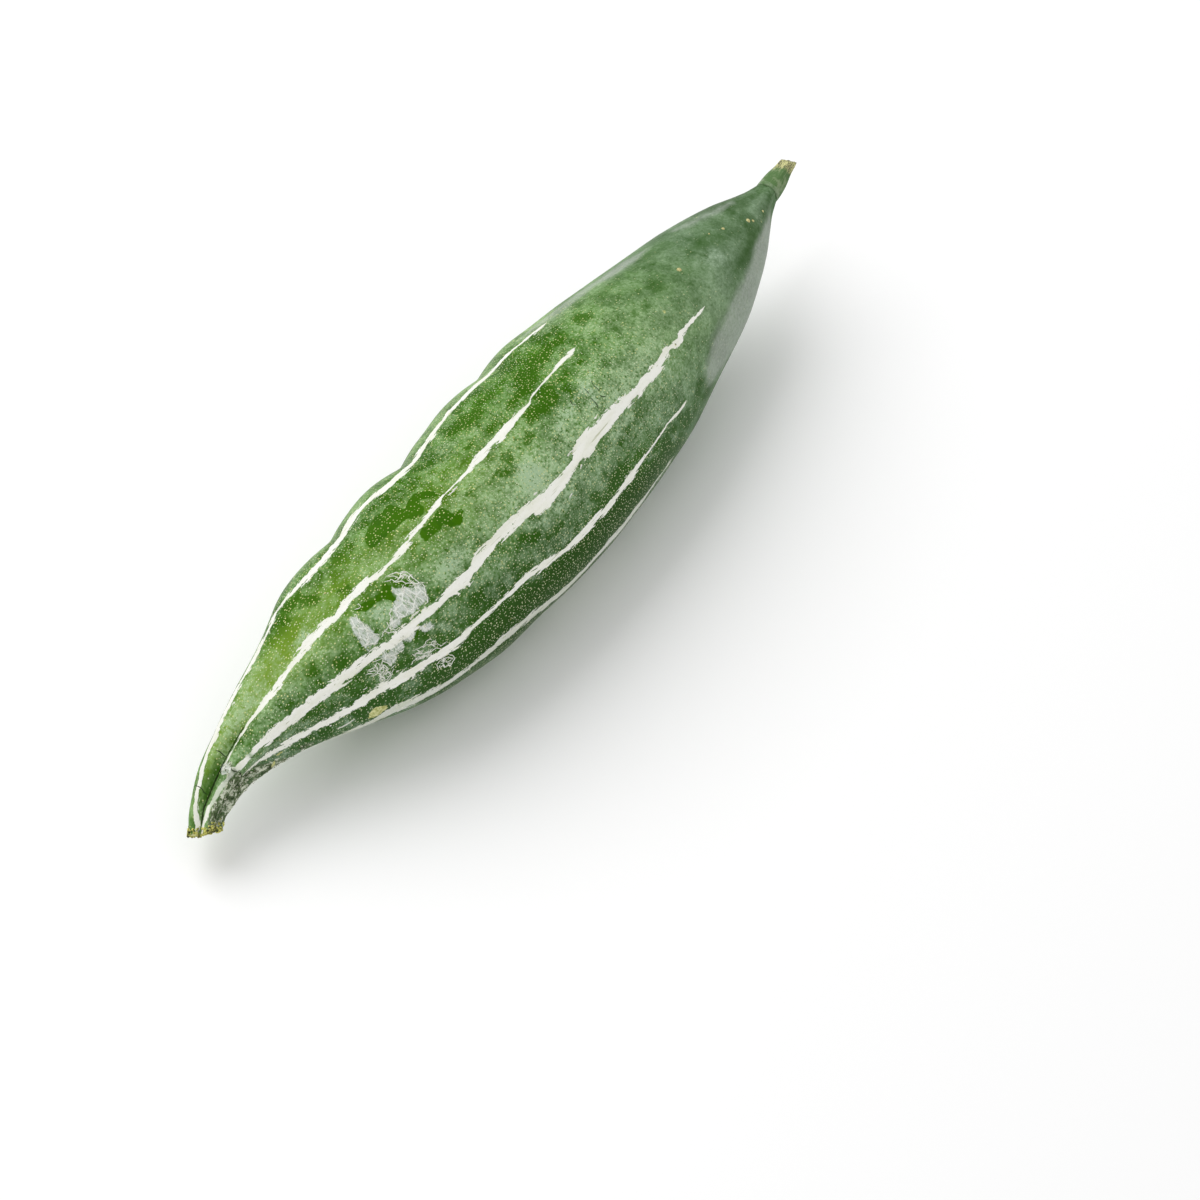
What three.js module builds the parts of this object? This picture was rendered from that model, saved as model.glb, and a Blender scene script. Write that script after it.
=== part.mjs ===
// A short snake gourd, picked and lying on its belly. The fruit is a spindle with five soft ribs,
// which gather into a hooked, furrowed beak at the blossom end. A cut stub of its stem is left at the
// other end.
//
// Millimetres. +Z is up and +X runs along the fruit towards the stem. The origin is under the middle
// of the whole gourd, on the surface that it lies on. A place on the skin is given by `along`, which
// is 0 where the stem joins and 1 at the beak's tip, and by `around`, in degrees: 0 faces -Y, 90 is
// the top and 180 faces +Y.

import * as THREE from "three";

// Driving dimensions
const FRUIT_LENGTH = 266; // from the stem's joint to the tip, measured along X
const FRUIT_RADIUS = 29.5; // at the fullest part of the belly
const STUB_LENGTH = 12;
const STUB_RADIUS = 3.4; // where the stem joins the fruit
const JOINT_GAP = 0.3; // between the fruit's neck and the stem's root
const RIB_COUNT = 5;
const FIRST_RIB = 54; // degrees around, for the crest of one rib
const TIP_SLANT = 2; // how far the tip runs out beyond its middle, on its longer side
const TIP_LONG_SIDE = 126; // degrees around, for that longer side
const SCAR_DEPTH = 0.9; // of the hollow that the flower left in the tip

// Faces of each solid
const SKIN_SIDES = 60;
const SKIN_RINGS = 60;
const STUB_SIDES = 20;
const STUB_RINGS = 9;

// The line through the middle of the fruit: [along, millimetres], sideways to +Y and above the surface
const SWAY = [
  [0, 2.6], [0.08, 0.7], [0.2, -1.8], [0.39, -4.2], [0.55, -6.3], [0.7, -5],
  [0.8, -1.6], [0.88, 1.9], [0.94, 2.7], [0.98, 0.4], [1, -2.4],
];
const HEIGHT = [
  [0, 33], [0.15, 31], [0.35, 29.2], [0.5, 28.7], [0.65, 28.4],
  [0.77, 27.2], [0.86, 23.5], [0.93, 18.5], [1, 11],
];

// How full the fruit is: [along, share of FRUIT_RADIUS]
const FULLNESS = [
  [0, 0.12], [0.026, 0.195], [0.08, 0.405], [0.148, 0.6], [0.2, 0.7], [0.267, 0.815],
  [0.328, 0.91], [0.388, 0.965], [0.44, 0.99], [0.496, 1], [0.552, 0.985], [0.6, 0.955],
  [0.66, 0.935], [0.723, 0.87], [0.771, 0.77], [0.841, 0.54], [0.878, 0.425], [0.92, 0.31],
  [0.96, 0.22], [1, 0.15],
];

// How deep the furrows between the ribs are: [along, share of the radius there]
const FURROW_DEPTH = [
  [0, 0.14], [0.06, 0.06], [0.2, 0.025], [0.5, 0.015], [0.7, 0.035],
  [0.82, 0.1], [0.9, 0.22], [0.96, 0.36], [1, 0.4],
];
const FURROW_WIDTH = 15; // degrees around, from the bottom of a furrow to where it has mostly risen
const RIB_ROUNDING = 0.35; // share of the furrow's depth that is spread over the whole rib

// Swellings and dents in the skin: along, around, half-lengths along and around, and height
const SWELLINGS = [
  { along: 0.65, around: 150, length: 0.035, width: 36, height: 0.9 },
  { along: 0.592, around: 146, length: 0.022, width: 30, height: -1.3 },
  { along: 0.5, around: 148, length: 0.035, width: 38, height: 0.9 },
  { along: 0.445, around: 150, length: 0.018, width: 30, height: -0.7 },
  { along: 0.395, around: 150, length: 0.03, width: 36, height: 0.8 },
  { along: 0.715, around: 148, length: 0.02, width: 28, height: -0.9 },
  { along: 0.79, around: 148, length: 0.04, width: 34, height: 1.8 },
  { along: 0.63, around: 102, length: 0.035, width: 15, height: -0.8 },
  { along: 0.62, around: 72, length: 0.05, width: 16, height: 0.9 },
  { along: 0.42, around: 66, length: 0.045, width: 20, height: 0.8 },
  { along: 0.78, around: 76, length: 0.04, width: 16, height: 0.5 },
  { along: 0.6, around: 34, length: 0.05, width: 14, height: 0.7 },
  { along: 0.48, around: 22, length: 0.03, width: 20, height: -0.6 },
  { along: 0.3, around: 100, length: 0.05, width: 26, height: 0.7 },
  { along: 0.24, around: 8, length: 0.04, width: 24, height: -0.6 },
  { along: 0.36, around: 216, length: 0.05, width: 28, height: 0.8 },
  { along: 0.54, around: 232, length: 0.04, width: 24, height: -0.7 },
  { along: 0.68, around: 204, length: 0.04, width: 26, height: 0.9 },
  { along: 0.78, around: 236, length: 0.035, width: 24, height: 0.5 },
  { along: 0.3, around: 318, length: 0.05, width: 26, height: 0.6 },
  { along: 0.64, around: 322, length: 0.045, width: 24, height: 0.7 },
];

// The stub of stem: [along, millimetres off the fruit's own line], upwards and to +Y, and
// [along, share of STUB_RADIUS]
const STUB_RISE = [[0, 0], [0.15, 0], [0.5, 0.8], [1, 3]];
const STUB_SWAY = [[0, 0], [0.15, 0], [0.5, -0.1], [1, -0.6]];
const STUB_FULLNESS = [[0, 1], [0.15, 0.96], [0.45, 0.84], [0.8, 0.68], [0.93, 0.68], [1, 0.64]];
const STUB_RIDGE_DEPTH = 0.09; // share of the stub's radius
const STUB_CUT_SLANT = 1.3; // how far the cut leans over, on its longer side
const STUB_CUT_LONG_SIDE = 250; // degrees around, for that longer side

const Z_AXIS = new THREE.Vector3(0, 0, 1);
const degrees = THREE.MathUtils.degToRad;

/** The value at `at` of a smooth curve through points of [place, value]. */
function smooth(points, at) {
  const last = points.length - 1;
  const slope = (i) => {
    const [before, after] = [points[Math.max(i - 1, 0)], points[Math.min(i + 1, last)]];
    return (after[1] - before[1]) / (after[0] - before[0]);
  };
  const next = points.findIndex(([place]) => place > at);
  const i = next < 0 ? last - 1 : Math.max(next - 1, 0);
  const [[from, low], [to, high]] = [points[i], points[i + 1]];
  const span = to - from;
  const t = (at - from) / span;
  return (
    (2 * t ** 3 - 3 * t ** 2 + 1) * low +
    (t ** 3 - 2 * t ** 2 + t) * span * slope(i) +
    (3 * t ** 2 - 2 * t ** 3) * high +
    (t ** 3 - t ** 2) * span * slope(i + 1)
  );
}

/** The direction of a line at `along`, and the two directions across it: level, and up from it. */
function frameOn(line, along) {
  const step = 1e-4;
  const tangent = line(Math.min(along + step, 1)).sub(line(Math.max(along - step, 0))).normalize();
  const side = new THREE.Vector3().crossVectors(Z_AXIS, tangent).normalize();
  const up = new THREE.Vector3().crossVectors(tangent, side);
  return { tangent, side, up };
}

/**
 * A closed skin round a line, made from a sphere's grid: its poles become the middles of the two ends.
 * `ring(row)` says which place along the line a ring has, how much of the radius it keeps, and how far
 * it is pushed along the line. `radius(along, around)` is the skin's distance from the line.
 */
function sweep(line, sides, rings, ring, radius, settle = (point) => point) {
  const geometry = new THREE.SphereGeometry(1, sides, rings);
  const position = geometry.getAttribute("position");
  for (let i = 0; i < position.count; i++) {
    const { along, keep, push } = ring(Math.floor(i / (sides + 1)));
    const column = (i % (sides + 1)) % sides;
    const around = -(360 * column) / sides;
    const { tangent, side, up } = frameOn(line, along);
    const reach = keep * radius(along, around);
    const point = line(along)
      .addScaledVector(side, reach * Math.cos(degrees(around)))
      .addScaledVector(up, reach * Math.sin(degrees(around)))
      .addScaledVector(tangent, push(around));
    position.setXYZ(i, ...settle(point));
  }
  geometry.deleteAttribute("uv");
  geometry.computeVertexNormals();
  return geometry;
}

/** How far round from `b` to `a`, from -180 to 180 degrees. */
function turnBetween(a, b) {
  return THREE.MathUtils.euclideanModulo(a - b + 180, 360) - 180;
}

// The fruit

const neckX = (FRUIT_LENGTH - STUB_LENGTH) / 2;

function fruitLine(along) {
  return new THREE.Vector3(neckX - FRUIT_LENGTH * along, smooth(SWAY, along), smooth(HEIGHT, along));
}

/** 1 on a rib's crest, falling over its rounded back to 0 at the bottom of the furrow beside it. */
function ribShape(around) {
  const pitch = 360 / RIB_COUNT;
  const fromFurrow = THREE.MathUtils.euclideanModulo(around - FIRST_RIB, pitch) - pitch / 2;
  const narrow = 1 - Math.exp(-((fromFurrow / FURROW_WIDTH) ** 2));
  const round = (1 - Math.cos(degrees(RIB_COUNT * fromFurrow))) / 2;
  return (1 - RIB_ROUNDING) * narrow + RIB_ROUNDING * round;
}

function fruitRadius(along, around) {
  const full = FRUIT_RADIUS * smooth(FULLNESS, along);
  const ribbed = full * (1 - smooth(FURROW_DEPTH, along) * (1 - ribShape(around)));
  const swollen = SWELLINGS.reduce((sum, s) => {
    const off = (along - s.along) / s.length;
    const turn = turnBetween(around, s.around) / s.width;
    return sum + s.height * Math.exp(-(off ** 2) - turn ** 2);
  }, 0);
  return ribbed + swollen;
}

// The tip's face: how much of the radius each of its rings keeps, and how far each is sunk into the scar
const SCAR_RINGS = [
  { keep: 0.82, sunk: -0.3 },
  { keep: 0.45, sunk: 0.6 },
  { keep: 0, sunk: 1 },
];

/** Spaces the rings closer together towards both ends, and adds the flat end and the scar. */
function fruitRing(row) {
  const bodyRings = SKIN_RINGS - SCAR_RINGS.length - 1;
  if (row === 0) return { along: 0, keep: 0, push: () => 0 };
  const share = Math.min((row - 1) / bodyRings, 1);
  const along = (share + (1 - Math.cos(Math.PI * share)) / 2) / 2;
  const slanted = THREE.MathUtils.smoothstep(along, 0.95, 1) * TIP_SLANT;
  const slant = (around) => slanted * Math.cos(degrees(around - TIP_LONG_SIDE));
  const scar = SCAR_RINGS[row - 1 - bodyRings - 1];
  if (!scar) return { along, keep: 1, push: slant };
  const push = (around) => scar.keep * slant(around) - scar.sunk * SCAR_DEPTH;
  return { along: 1, keep: scar.keep, push };
}

function fruit() {
  const settle = (point) => point.setZ(Math.max(point.z, 0));
  const skin = sweep(fruitLine, SKIN_SIDES, SKIN_RINGS, fruitRing, fruitRadius, settle);
  const material = new THREE.MeshStandardMaterial({ color: 0x4f7f3a, roughness: 0.42, metalness: 0 });
  const mesh = new THREE.Mesh(skin, material);
  mesh.name = "fruit";
  return mesh;
}

// The stub of stem

function stubLine(along) {
  const { tangent, side, up } = frameOn(fruitLine, 0);
  const reach = JOINT_GAP + (STUB_LENGTH - JOINT_GAP) * along;
  return fruitLine(0)
    .addScaledVector(tangent, -reach)
    .addScaledVector(up, smooth(STUB_RISE, along))
    .addScaledVector(side, -smooth(STUB_SWAY, along));
}

function stubRadius(along, around) {
  const ridge = Math.cos(degrees(RIB_COUNT * (around - FIRST_RIB)));
  return STUB_RADIUS * smooth(STUB_FULLNESS, along) * (1 + STUB_RIDGE_DEPTH * ridge * along);
}

function stubRing(row) {
  const share = THREE.MathUtils.clamp((row - 1) / (STUB_RINGS - 2), 0, 1);
  const end = row === 0 || row === STUB_RINGS;
  const slanted = share ** 3 * STUB_CUT_SLANT;
  const push = (around) => (end ? 0 : slanted * Math.cos(degrees(around - STUB_CUT_LONG_SIDE)));
  return { along: share, keep: end ? 0 : 1, push };
}

function stub() {
  const skin = sweep(stubLine, STUB_SIDES, STUB_RINGS, stubRing, stubRadius);
  const material = new THREE.MeshStandardMaterial({ color: 0x7d8a45, roughness: 0.7, metalness: 0 });
  const mesh = new THREE.Mesh(skin, material);
  mesh.name = "stem_stub";
  return mesh;
}

const gourd = new THREE.Group();
gourd.name = "snake_gourd";
gourd.add(fruit(), stub());

// Bring the middle of the whole gourd over the origin
const middle = new THREE.Box3().setFromObject(gourd).getCenter(new THREE.Vector3());
gourd.position.set(-middle.x, -middle.y, 0);

export default gourd;
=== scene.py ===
"""The looks of a short snake gourd that lies on its belly.

Metres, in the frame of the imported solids: +Z is up and +X runs along the fruit towards the stem. A place
on the skin is given by along, which is 0 where the stem joins and 1 at the beak's tip, and by around, in
degrees: 0 faces -Y, 90 is the top and 180 faces +Y. Sizes in the classes are in millimetres.
"""

import logging
import math
from dataclasses import dataclass, field
from enum import Enum

import bpy
import numpy as np
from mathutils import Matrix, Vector


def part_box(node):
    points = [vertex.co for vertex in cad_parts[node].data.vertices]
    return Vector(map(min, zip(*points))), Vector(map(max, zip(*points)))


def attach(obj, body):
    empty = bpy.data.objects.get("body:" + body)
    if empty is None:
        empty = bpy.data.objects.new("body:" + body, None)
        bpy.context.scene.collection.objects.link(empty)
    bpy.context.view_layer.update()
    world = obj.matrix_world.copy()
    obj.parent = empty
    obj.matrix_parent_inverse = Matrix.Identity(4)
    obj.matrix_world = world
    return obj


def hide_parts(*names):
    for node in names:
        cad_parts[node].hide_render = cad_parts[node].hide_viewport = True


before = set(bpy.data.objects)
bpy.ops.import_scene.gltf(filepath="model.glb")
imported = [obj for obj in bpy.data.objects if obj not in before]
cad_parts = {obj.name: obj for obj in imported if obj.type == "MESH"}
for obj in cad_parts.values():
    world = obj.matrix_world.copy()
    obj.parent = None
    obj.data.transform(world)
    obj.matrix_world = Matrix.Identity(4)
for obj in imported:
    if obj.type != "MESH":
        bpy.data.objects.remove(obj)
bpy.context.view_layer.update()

MM = 0.001
log = logging.getLogger("snake_gourd")

Colour = tuple[float, float, float]
Places = tuple[tuple[float, float], ...]


class Slot(Enum):
    """The material slots of the record."""

    SKIN = "skin"
    STEM = "stem"


# Curves and marks


@dataclass(frozen=True)
class Curve:
    """A smooth curve through points of (place, value)."""

    points: tuple[tuple[float, float], ...]

    def at(self, place: np.ndarray | float) -> np.ndarray:
        """Returns the value at one or more places.

        Args:
            place: where to read the curve.

        Returns:
            The values, in the shape of place.
        """
        places, values = np.array(self.points, float).T
        last = len(places) - 1
        after = np.minimum(np.arange(last + 1) + 1, last)
        before = np.maximum(np.arange(last + 1) - 1, 0)
        slope = (values[after] - values[before]) / (places[after] - places[before])
        where = np.asarray(place, float)
        i = np.clip(np.searchsorted(places, where, side="right") - 1, 0, last - 1)
        span = places[i + 1] - places[i]
        t = (where - places[i]) / span
        return (
            (2 * t**3 - 3 * t**2 + 1) * values[i]
            + (t**3 - 2 * t**2 + t) * span * slope[i]
            + (3 * t**2 - 2 * t**3) * values[i + 1]
            + (t**3 - t**2) * span * slope[i + 1]
        )


def turn_between(a: np.ndarray, b: np.ndarray | float) -> np.ndarray:
    """Returns how far round it is from b to a, from -180 to 180 degrees."""
    return np.mod(a - b + 180, 360) - 180


@dataclass(frozen=True)
class Patch:
    """An oval place on the skin: where its middle is, its half-length and half-width, and how strong it is."""

    along: float
    around: float
    length: float
    width: float
    strength: float = 1.0

    def distance(self, along: np.ndarray, around: np.ndarray) -> np.ndarray:
        """Returns how far out each place is: 0 in the middle, and 1 on the patch's edge."""
        off = (along - self.along) / self.length
        turn = turn_between(around, self.around) / self.width
        return np.hypot(off, turn)


def soft_sum(patches: tuple[Patch, ...], along: np.ndarray, around: np.ndarray) -> np.ndarray:
    """Adds patches up, each fading out from its middle."""
    total = np.zeros_like(along)
    for patch in patches:
        total += patch.strength * np.exp(-(patch.distance(along, around) ** 2))
    return total


@dataclass(frozen=True)
class Blot:
    """A mark on the skin with an outline of its own, drawn through points of (along, around)."""

    outline: Places

    def depth(self, form: "FruitForm", along: np.ndarray, around: np.ndarray, reach: float) -> np.ndarray:
        """Returns how far inside the outline each place lies.

        Args:
            form: the fruit that the mark is on.
            along: the places along the fruit.
            around: the places around it, in degrees.
            reach: how far the answer goes outside the mark, in millimetres.

        Returns:
            The depths in millimetres, below 0 outside the outline and never below -reach.
        """
        drawn = np.array(self.outline, float)
        middle = drawn.mean(0)
        scale = np.array([form.length, math.radians(form.radius * float(form.fullness.at(middle[0])))])
        start = (drawn - middle) * scale
        end = np.roll(start, -1, axis=0)
        place = np.stack([along - middle[0], turn_between(around, middle[1])], -1) * scale
        near = (np.abs(place) < np.abs(start).max(0) + reach).all(-1)
        spot = place[near][:, None]
        edge = end - start
        share = np.clip(((spot - start) * edge).sum(-1) / (edge**2).sum(-1), 0, 1)
        gap = np.linalg.norm(spot - start - share[..., None] * edge, axis=-1).min(1)
        between = (start[:, 1] > spot[..., 1]) != (end[:, 1] > spot[..., 1])
        rise = np.where(edge[:, 1] == 0, 1, edge[:, 1])
        crossing = start[:, 0] + (spot[..., 1] - start[:, 1]) / rise * edge[:, 0]
        inside = (between & (spot[..., 0] < crossing)).sum(1) % 2 == 1
        depth = np.full(along.shape, -reach)
        depth[near] = np.maximum(np.where(inside, gap, -gap), -reach)
        return depth


def deepest(blots: tuple[Blot, ...], form: "FruitForm", along: np.ndarray, around: np.ndarray) -> np.ndarray:
    """Returns how deep each place lies in the nearest blot, in millimetres, from -3 up."""
    reach = 3.0
    depth = np.full_like(along, -reach)
    for blot in blots:
        depth = np.maximum(depth, blot.depth(form, along, around, reach))
    return depth


def scattered_blots(count: int, size: float, seed: int) -> tuple[Blot, ...]:
    """Makes irregular blots for the side that can't be seen.

    Args:
        count: how many.
        size: their usual radius, in millimetres.
        seed: fixes the random draw.

    Returns:
        The blots.
    """
    rng = np.random.default_rng(seed)
    made = []
    for _ in range(count):
        along, around = rng.uniform(0.12, 0.88), rng.uniform(158, 318)
        turns = np.sort(rng.uniform(0, 2 * math.pi, 11))
        reach = size * rng.uniform(0.6, 1.5) * rng.uniform(0.45, 1.2, len(turns))
        outline = zip(along + 1.4 * reach * np.cos(turns) / 266, around + 2.2 * reach * np.sin(turns))
        made.append(Blot(tuple((float(a), float(b)) for a, b in outline)))
    return tuple(made)


@dataclass(frozen=True)
class Stripe:
    """One white stripe, as rows of (along, the higher around of its two edges, the lower)."""

    rows: tuple[tuple[float, float, float], ...]

    def offset_and_half(self, along: np.ndarray, around: np.ndarray) -> tuple[np.ndarray, np.ndarray]:
        """Returns how far round each place is from the stripe's middle, and half the stripe's width there.

        Both are in degrees. Past the stripe's two ends the half-width runs on below 0.
        """
        places, high, low = np.array(self.rows, float).T
        middle = np.interp(along, places, (high + low) / 2)
        half = np.interp(along, places, (high - low) / 2)
        past = np.maximum(places[0] - along, along - places[-1])
        half = np.where(past > 0, half - past * 220, half)
        return turn_between(around, middle), half


def wandering_stripe(middle: float, width: float, start: float, seed: int) -> Stripe:
    """Makes a stripe for a side that can't be seen, drawn like the ones that can.

    Args:
        middle: degrees around, for the belly.
        width: degrees, where the stripe is widest.
        start: along, where the stripe begins.
        seed: fixes the random draw.

    Returns:
        The stripe, from start to the tip.
    """
    rng = np.random.default_rng(seed)
    rows = []
    places = np.arange(start, 0.99, 0.024)
    sway = rng.uniform(-1, 1, len(places)).cumsum() * 0.55
    sway -= np.linspace(sway[0], sway[-1], len(sway))
    for place, off in zip(places, sway):
        grown = min(1.0, (place - start) / 0.2) ** 0.7
        half = width / 2 * (0.2 + 0.8 * grown) * rng.uniform(0.72, 1.18)
        slim = 0.45 if rng.random() < 0.1 else 1.0
        rows.append((float(place), middle + off + half * slim, middle + off - half * slim))
    return Stripe(tuple(rows))


# Node trees


class Sketch:
    """Draws a node tree, for a material or for geometry, with short calls."""

    def __init__(self, tree: bpy.types.NodeTree) -> None:
        """Starts on an empty tree."""
        self.tree = tree
        tree.nodes.clear()

    def node(self, kind: str, inputs: dict | None = None, **settings) -> bpy.types.Node:
        """Adds a node.

        Args:
            kind: Blender's type name for the node.
            inputs: what goes into its inputs, by name or number: a socket is linked, a value is set.
            settings: the node's own settings.

        Returns:
            The new node.
        """
        made = self.tree.nodes.new(kind)
        for name, value in settings.items():
            setattr(made, name, value)
        for name, value in (inputs or {}).items():
            self.feed(made.inputs[name], value)
        return made

    def feed(self, socket: bpy.types.NodeSocket, value: object) -> None:
        """Links a socket to an input, or sets the input's value."""
        if isinstance(value, bpy.types.NodeSocket):
            self.tree.links.new(value, socket)
        else:
            socket.default_value = value

    def math(self, operation: str, *values: object, clamp: bool = False) -> bpy.types.NodeSocket:
        """Works out one sum and returns its result."""
        made = self.node("ShaderNodeMath", dict(enumerate(values)), operation=operation, use_clamp=clamp)
        return made.outputs[0]

    def total(self, first: object, *others: object) -> bpy.types.NodeSocket:
        """Adds values up."""
        for other in others:
            first = self.math("ADD", first, other)
        return first

    def times(self, first: object, *others: object) -> bpy.types.NodeSocket:
        """Multiplies values."""
        for other in others:
            first = self.math("MULTIPLY", first, other)
        return first

    def rest(self, share: object) -> bpy.types.NodeSocket:
        """Returns what a share leaves of 1."""
        return self.math("SUBTRACT", 1.0, share)

    def swing(self, field_: object, size: float) -> bpy.types.NodeSocket:
        """Turns a field of 0 to 1 into one that swings round 0, size from end to end."""
        return self.math("MULTIPLY", self.math("SUBTRACT", field_, 0.5), size)

    def vector(self, operation: str, *values: object) -> bpy.types.NodeSocket:
        """Works out one sum on vectors and returns its result."""
        made = self.node("ShaderNodeVectorMath", dict(enumerate(values)), operation=operation)
        return made.outputs["Value" if operation in ("LENGTH", "DOT_PRODUCT") else "Vector"]

    def scaled(self, vector: object, scale: object) -> bpy.types.NodeSocket:
        """Multiplies a vector by a number."""
        made = self.node("ShaderNodeVectorMath", {0: vector, "Scale": scale}, operation="SCALE")
        return made.outputs["Vector"]

    def step(self, value: object, low: object, high: object) -> bpy.types.NodeSocket:
        """Returns 0 below low, 1 above high, and a smooth rise between them."""
        inputs = {"Value": value, "From Min": low, "From Max": high}
        return self.node("ShaderNodeMapRange", inputs, interpolation_type="SMOOTHSTEP").outputs[0]

    def remap(self, value: object, low: float, high: float, to_low: float, to_high: float):
        """Moves a value from one range to another, in a straight line, and holds it at the ends."""
        inputs = {"Value": value, "From Min": low, "From Max": high, "To Min": to_low, "To Max": to_high}
        return self.node("ShaderNodeMapRange", inputs).outputs[0]

    def noise(self, place: object, grain: float, detail: float = 2, roughness: float = 0.5):
        """Returns a cloudy field of about 0 to 1, whose clouds are grain millimetres across."""
        inputs = {"Vector": place, "Scale": 1 / (grain * MM), "Detail": detail, "Roughness": roughness}
        return self.node("ShaderNodeTexNoise", inputs).outputs[0]

    def noise_vector(self, place: object, grain: float) -> bpy.types.NodeSocket:
        """Returns a cloudy field of vectors, each part from about -0.5 to 0.5."""
        inputs = {"Vector": place, "Scale": 1 / (grain * MM), "Detail": 2}
        made = self.node("ShaderNodeTexNoise", inputs).outputs["Color"]
        return self.vector("SUBTRACT", made, (0.5, 0.5, 0.5))

    def cells(self, place: object, grain: float, feature: str = "F1") -> bpy.types.Node:
        """Returns a field of random cells that are grain millimetres across."""
        inputs = {"Vector": place, "Scale": 1 / (grain * MM)}
        return self.node("ShaderNodeTexVoronoi", inputs, feature=feature)


class Paint(Sketch):
    """Draws a material."""

    def __init__(self, name: str) -> None:
        """Starts an empty material of that name."""
        self.material = bpy.data.materials.new(name)
        self.material.use_nodes = True
        super().__init__(self.material.node_tree)

    def attribute(self, name: str) -> bpy.types.NodeSocket:
        """Reads a number that the mesh carries."""
        return self.node("ShaderNodeAttribute", attribute_name=name).outputs["Fac"]

    def attribute_vector(self, name: str) -> bpy.types.NodeSocket:
        """Reads a vector that the mesh carries."""
        return self.node("ShaderNodeAttribute", attribute_name=name).outputs["Vector"]

    def uv(self, name: str) -> bpy.types.NodeSocket:
        """Reads a UV map of the mesh."""
        return self.node("ShaderNodeUVMap", uv_map=name).outputs[0]

    def parts(self, vector: object) -> bpy.types.NodeOutputs:
        """Takes a vector apart."""
        return self.node("ShaderNodeSeparateXYZ", {0: vector}).outputs

    def blend(self, share: object, under: object, over: object) -> bpy.types.NodeSocket:
        """Lays one colour over another."""
        made = self.node("ShaderNodeMix", data_type="RGBA", clamp_factor=True)
        for socket, value in zip((made.inputs[0], made.inputs[6], made.inputs[7]), (share, under, over)):
            self.feed(socket, (*value, 1) if isinstance(value, tuple) else value)
        return made.outputs[2]

    def finish(
        self,
        colour: object,
        roughness: object,
        height: object = None,
        depth: float = 0.1,
        **constants: object,
    ) -> bpy.types.Material:
        """Joins everything to the shader.

        Args:
            colour: the base colour.
            roughness: the roughness.
            height: the relief, from 0 to 1, or None for none.
            depth: how high a relief of 1 stands, in millimetres.
            constants: values for the shader's own sockets, with _ for the spaces in their names.

        Returns:
            The finished material.
        """
        shader = self.node("ShaderNodeBsdfPrincipled", {"Base Color": colour, "Roughness": roughness})
        for name, value in constants.items():
            shader.inputs[name.replace("_", " ")].default_value = value
        if height is not None:
            bump = self.node("ShaderNodeBump", {"Height": height, "Distance": depth * MM, "Strength": 1.0})
            self.feed(shader.inputs["Normal"], bump.outputs[0])
        output = self.node("ShaderNodeOutputMaterial")
        self.tree.links.new(shader.outputs[0], output.inputs["Surface"])
        return self.material


class GrowthTree(Sketch):
    """Draws a geometry tree whose sizes are named inputs."""

    def __init__(self, name: str, sizes: dict[str, object]) -> None:
        """Starts a tree.

        Args:
            name: the tree's name.
            sizes: its inputs besides Geometry, each with its value.
        """
        super().__init__(bpy.data.node_groups.new(name, "GeometryNodeTree"))
        self.sizes = sizes
        kinds = {float: "NodeSocketFloat", int: "NodeSocketInt", bpy.types.Object: "NodeSocketObject"}
        kinds[bpy.types.Material] = "NodeSocketMaterial"
        interface = self.tree.interface
        interface.new_socket("Geometry", in_out="INPUT", socket_type="NodeSocketGeometry")
        self.identifiers = {}
        for size, value in sizes.items():
            kind = next(socket for type_, socket in kinds.items() if isinstance(value, type_))
            made = interface.new_socket(size, in_out="INPUT", socket_type=kind)
            self.identifiers[size] = made.identifier
        interface.new_socket("Geometry", in_out="OUTPUT", socket_type="NodeSocketGeometry")
        self.given = self.node("NodeGroupInput").outputs

    def named(self, name: str, kind: str = "FLOAT") -> bpy.types.NodeSocket:
        """Reads an attribute of the geometry."""
        made = self.node("GeometryNodeInputNamedAttribute", {"Name": name}, data_type=kind)
        return made.outputs["Attribute"]

    def shift(self, geometry: object, offset: object) -> bpy.types.NodeSocket:
        """Moves points by an offset."""
        return self.node("GeometryNodeSetPosition", {"Geometry": geometry, "Offset": offset}).outputs[0]

    def random(self, low: object, high: object, seed: object) -> bpy.types.NodeSocket:
        """Draws one number for each point."""
        made = self.node("FunctionNodeRandomValue", {2: low, 3: high, "Seed": seed}, data_type="FLOAT")
        return made.outputs[1]

    def mesh_of(self, name: str) -> bpy.types.NodeSocket:
        """Returns the mesh of the object that is given under that name."""
        inputs = {"Object": self.given[name]}
        return self.node("GeometryNodeObjectInfo", inputs, transform_space="ORIGINAL").outputs["Geometry"]

    def end(self, geometry: bpy.types.NodeSocket) -> None:
        """Makes the result real and gives it its material."""
        real = self.node("GeometryNodeRealizeInstances", {"Geometry": geometry}).outputs[0]
        smooth = self.node("GeometryNodeSetShadeSmooth", {"Geometry": real}).outputs[0]
        dressed = self.node("GeometryNodeSetMaterial", {"Geometry": smooth, "Material": self.given["Finish"]})
        output = self.node("NodeGroupOutput")
        self.tree.links.new(dressed.outputs[0], output.inputs["Geometry"])

    def grow(self, seedling: bpy.types.Object) -> bpy.types.Object:
        """Runs the tree on an object and keeps the result as the object's plain mesh.

        Args:
            seedling: the object that the tree starts from.

        Returns:
            The same object, with its grown mesh.
        """
        modifier = seedling.modifiers.new(self.tree.name, "NODES")
        modifier.node_group = self.tree
        for size, identifier in self.identifiers.items():
            modifier[identifier] = self.sizes[size]
        seedling.update_tag()
        graph = bpy.context.evaluated_depsgraph_get()
        graph.update()
        grown = bpy.data.meshes.new_from_object(seedling.evaluated_get(graph), depsgraph=graph)
        seedling.modifiers.clear()
        bare = seedling.data
        seedling.data = grown
        bpy.data.meshes.remove(bare)
        return seedling


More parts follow.
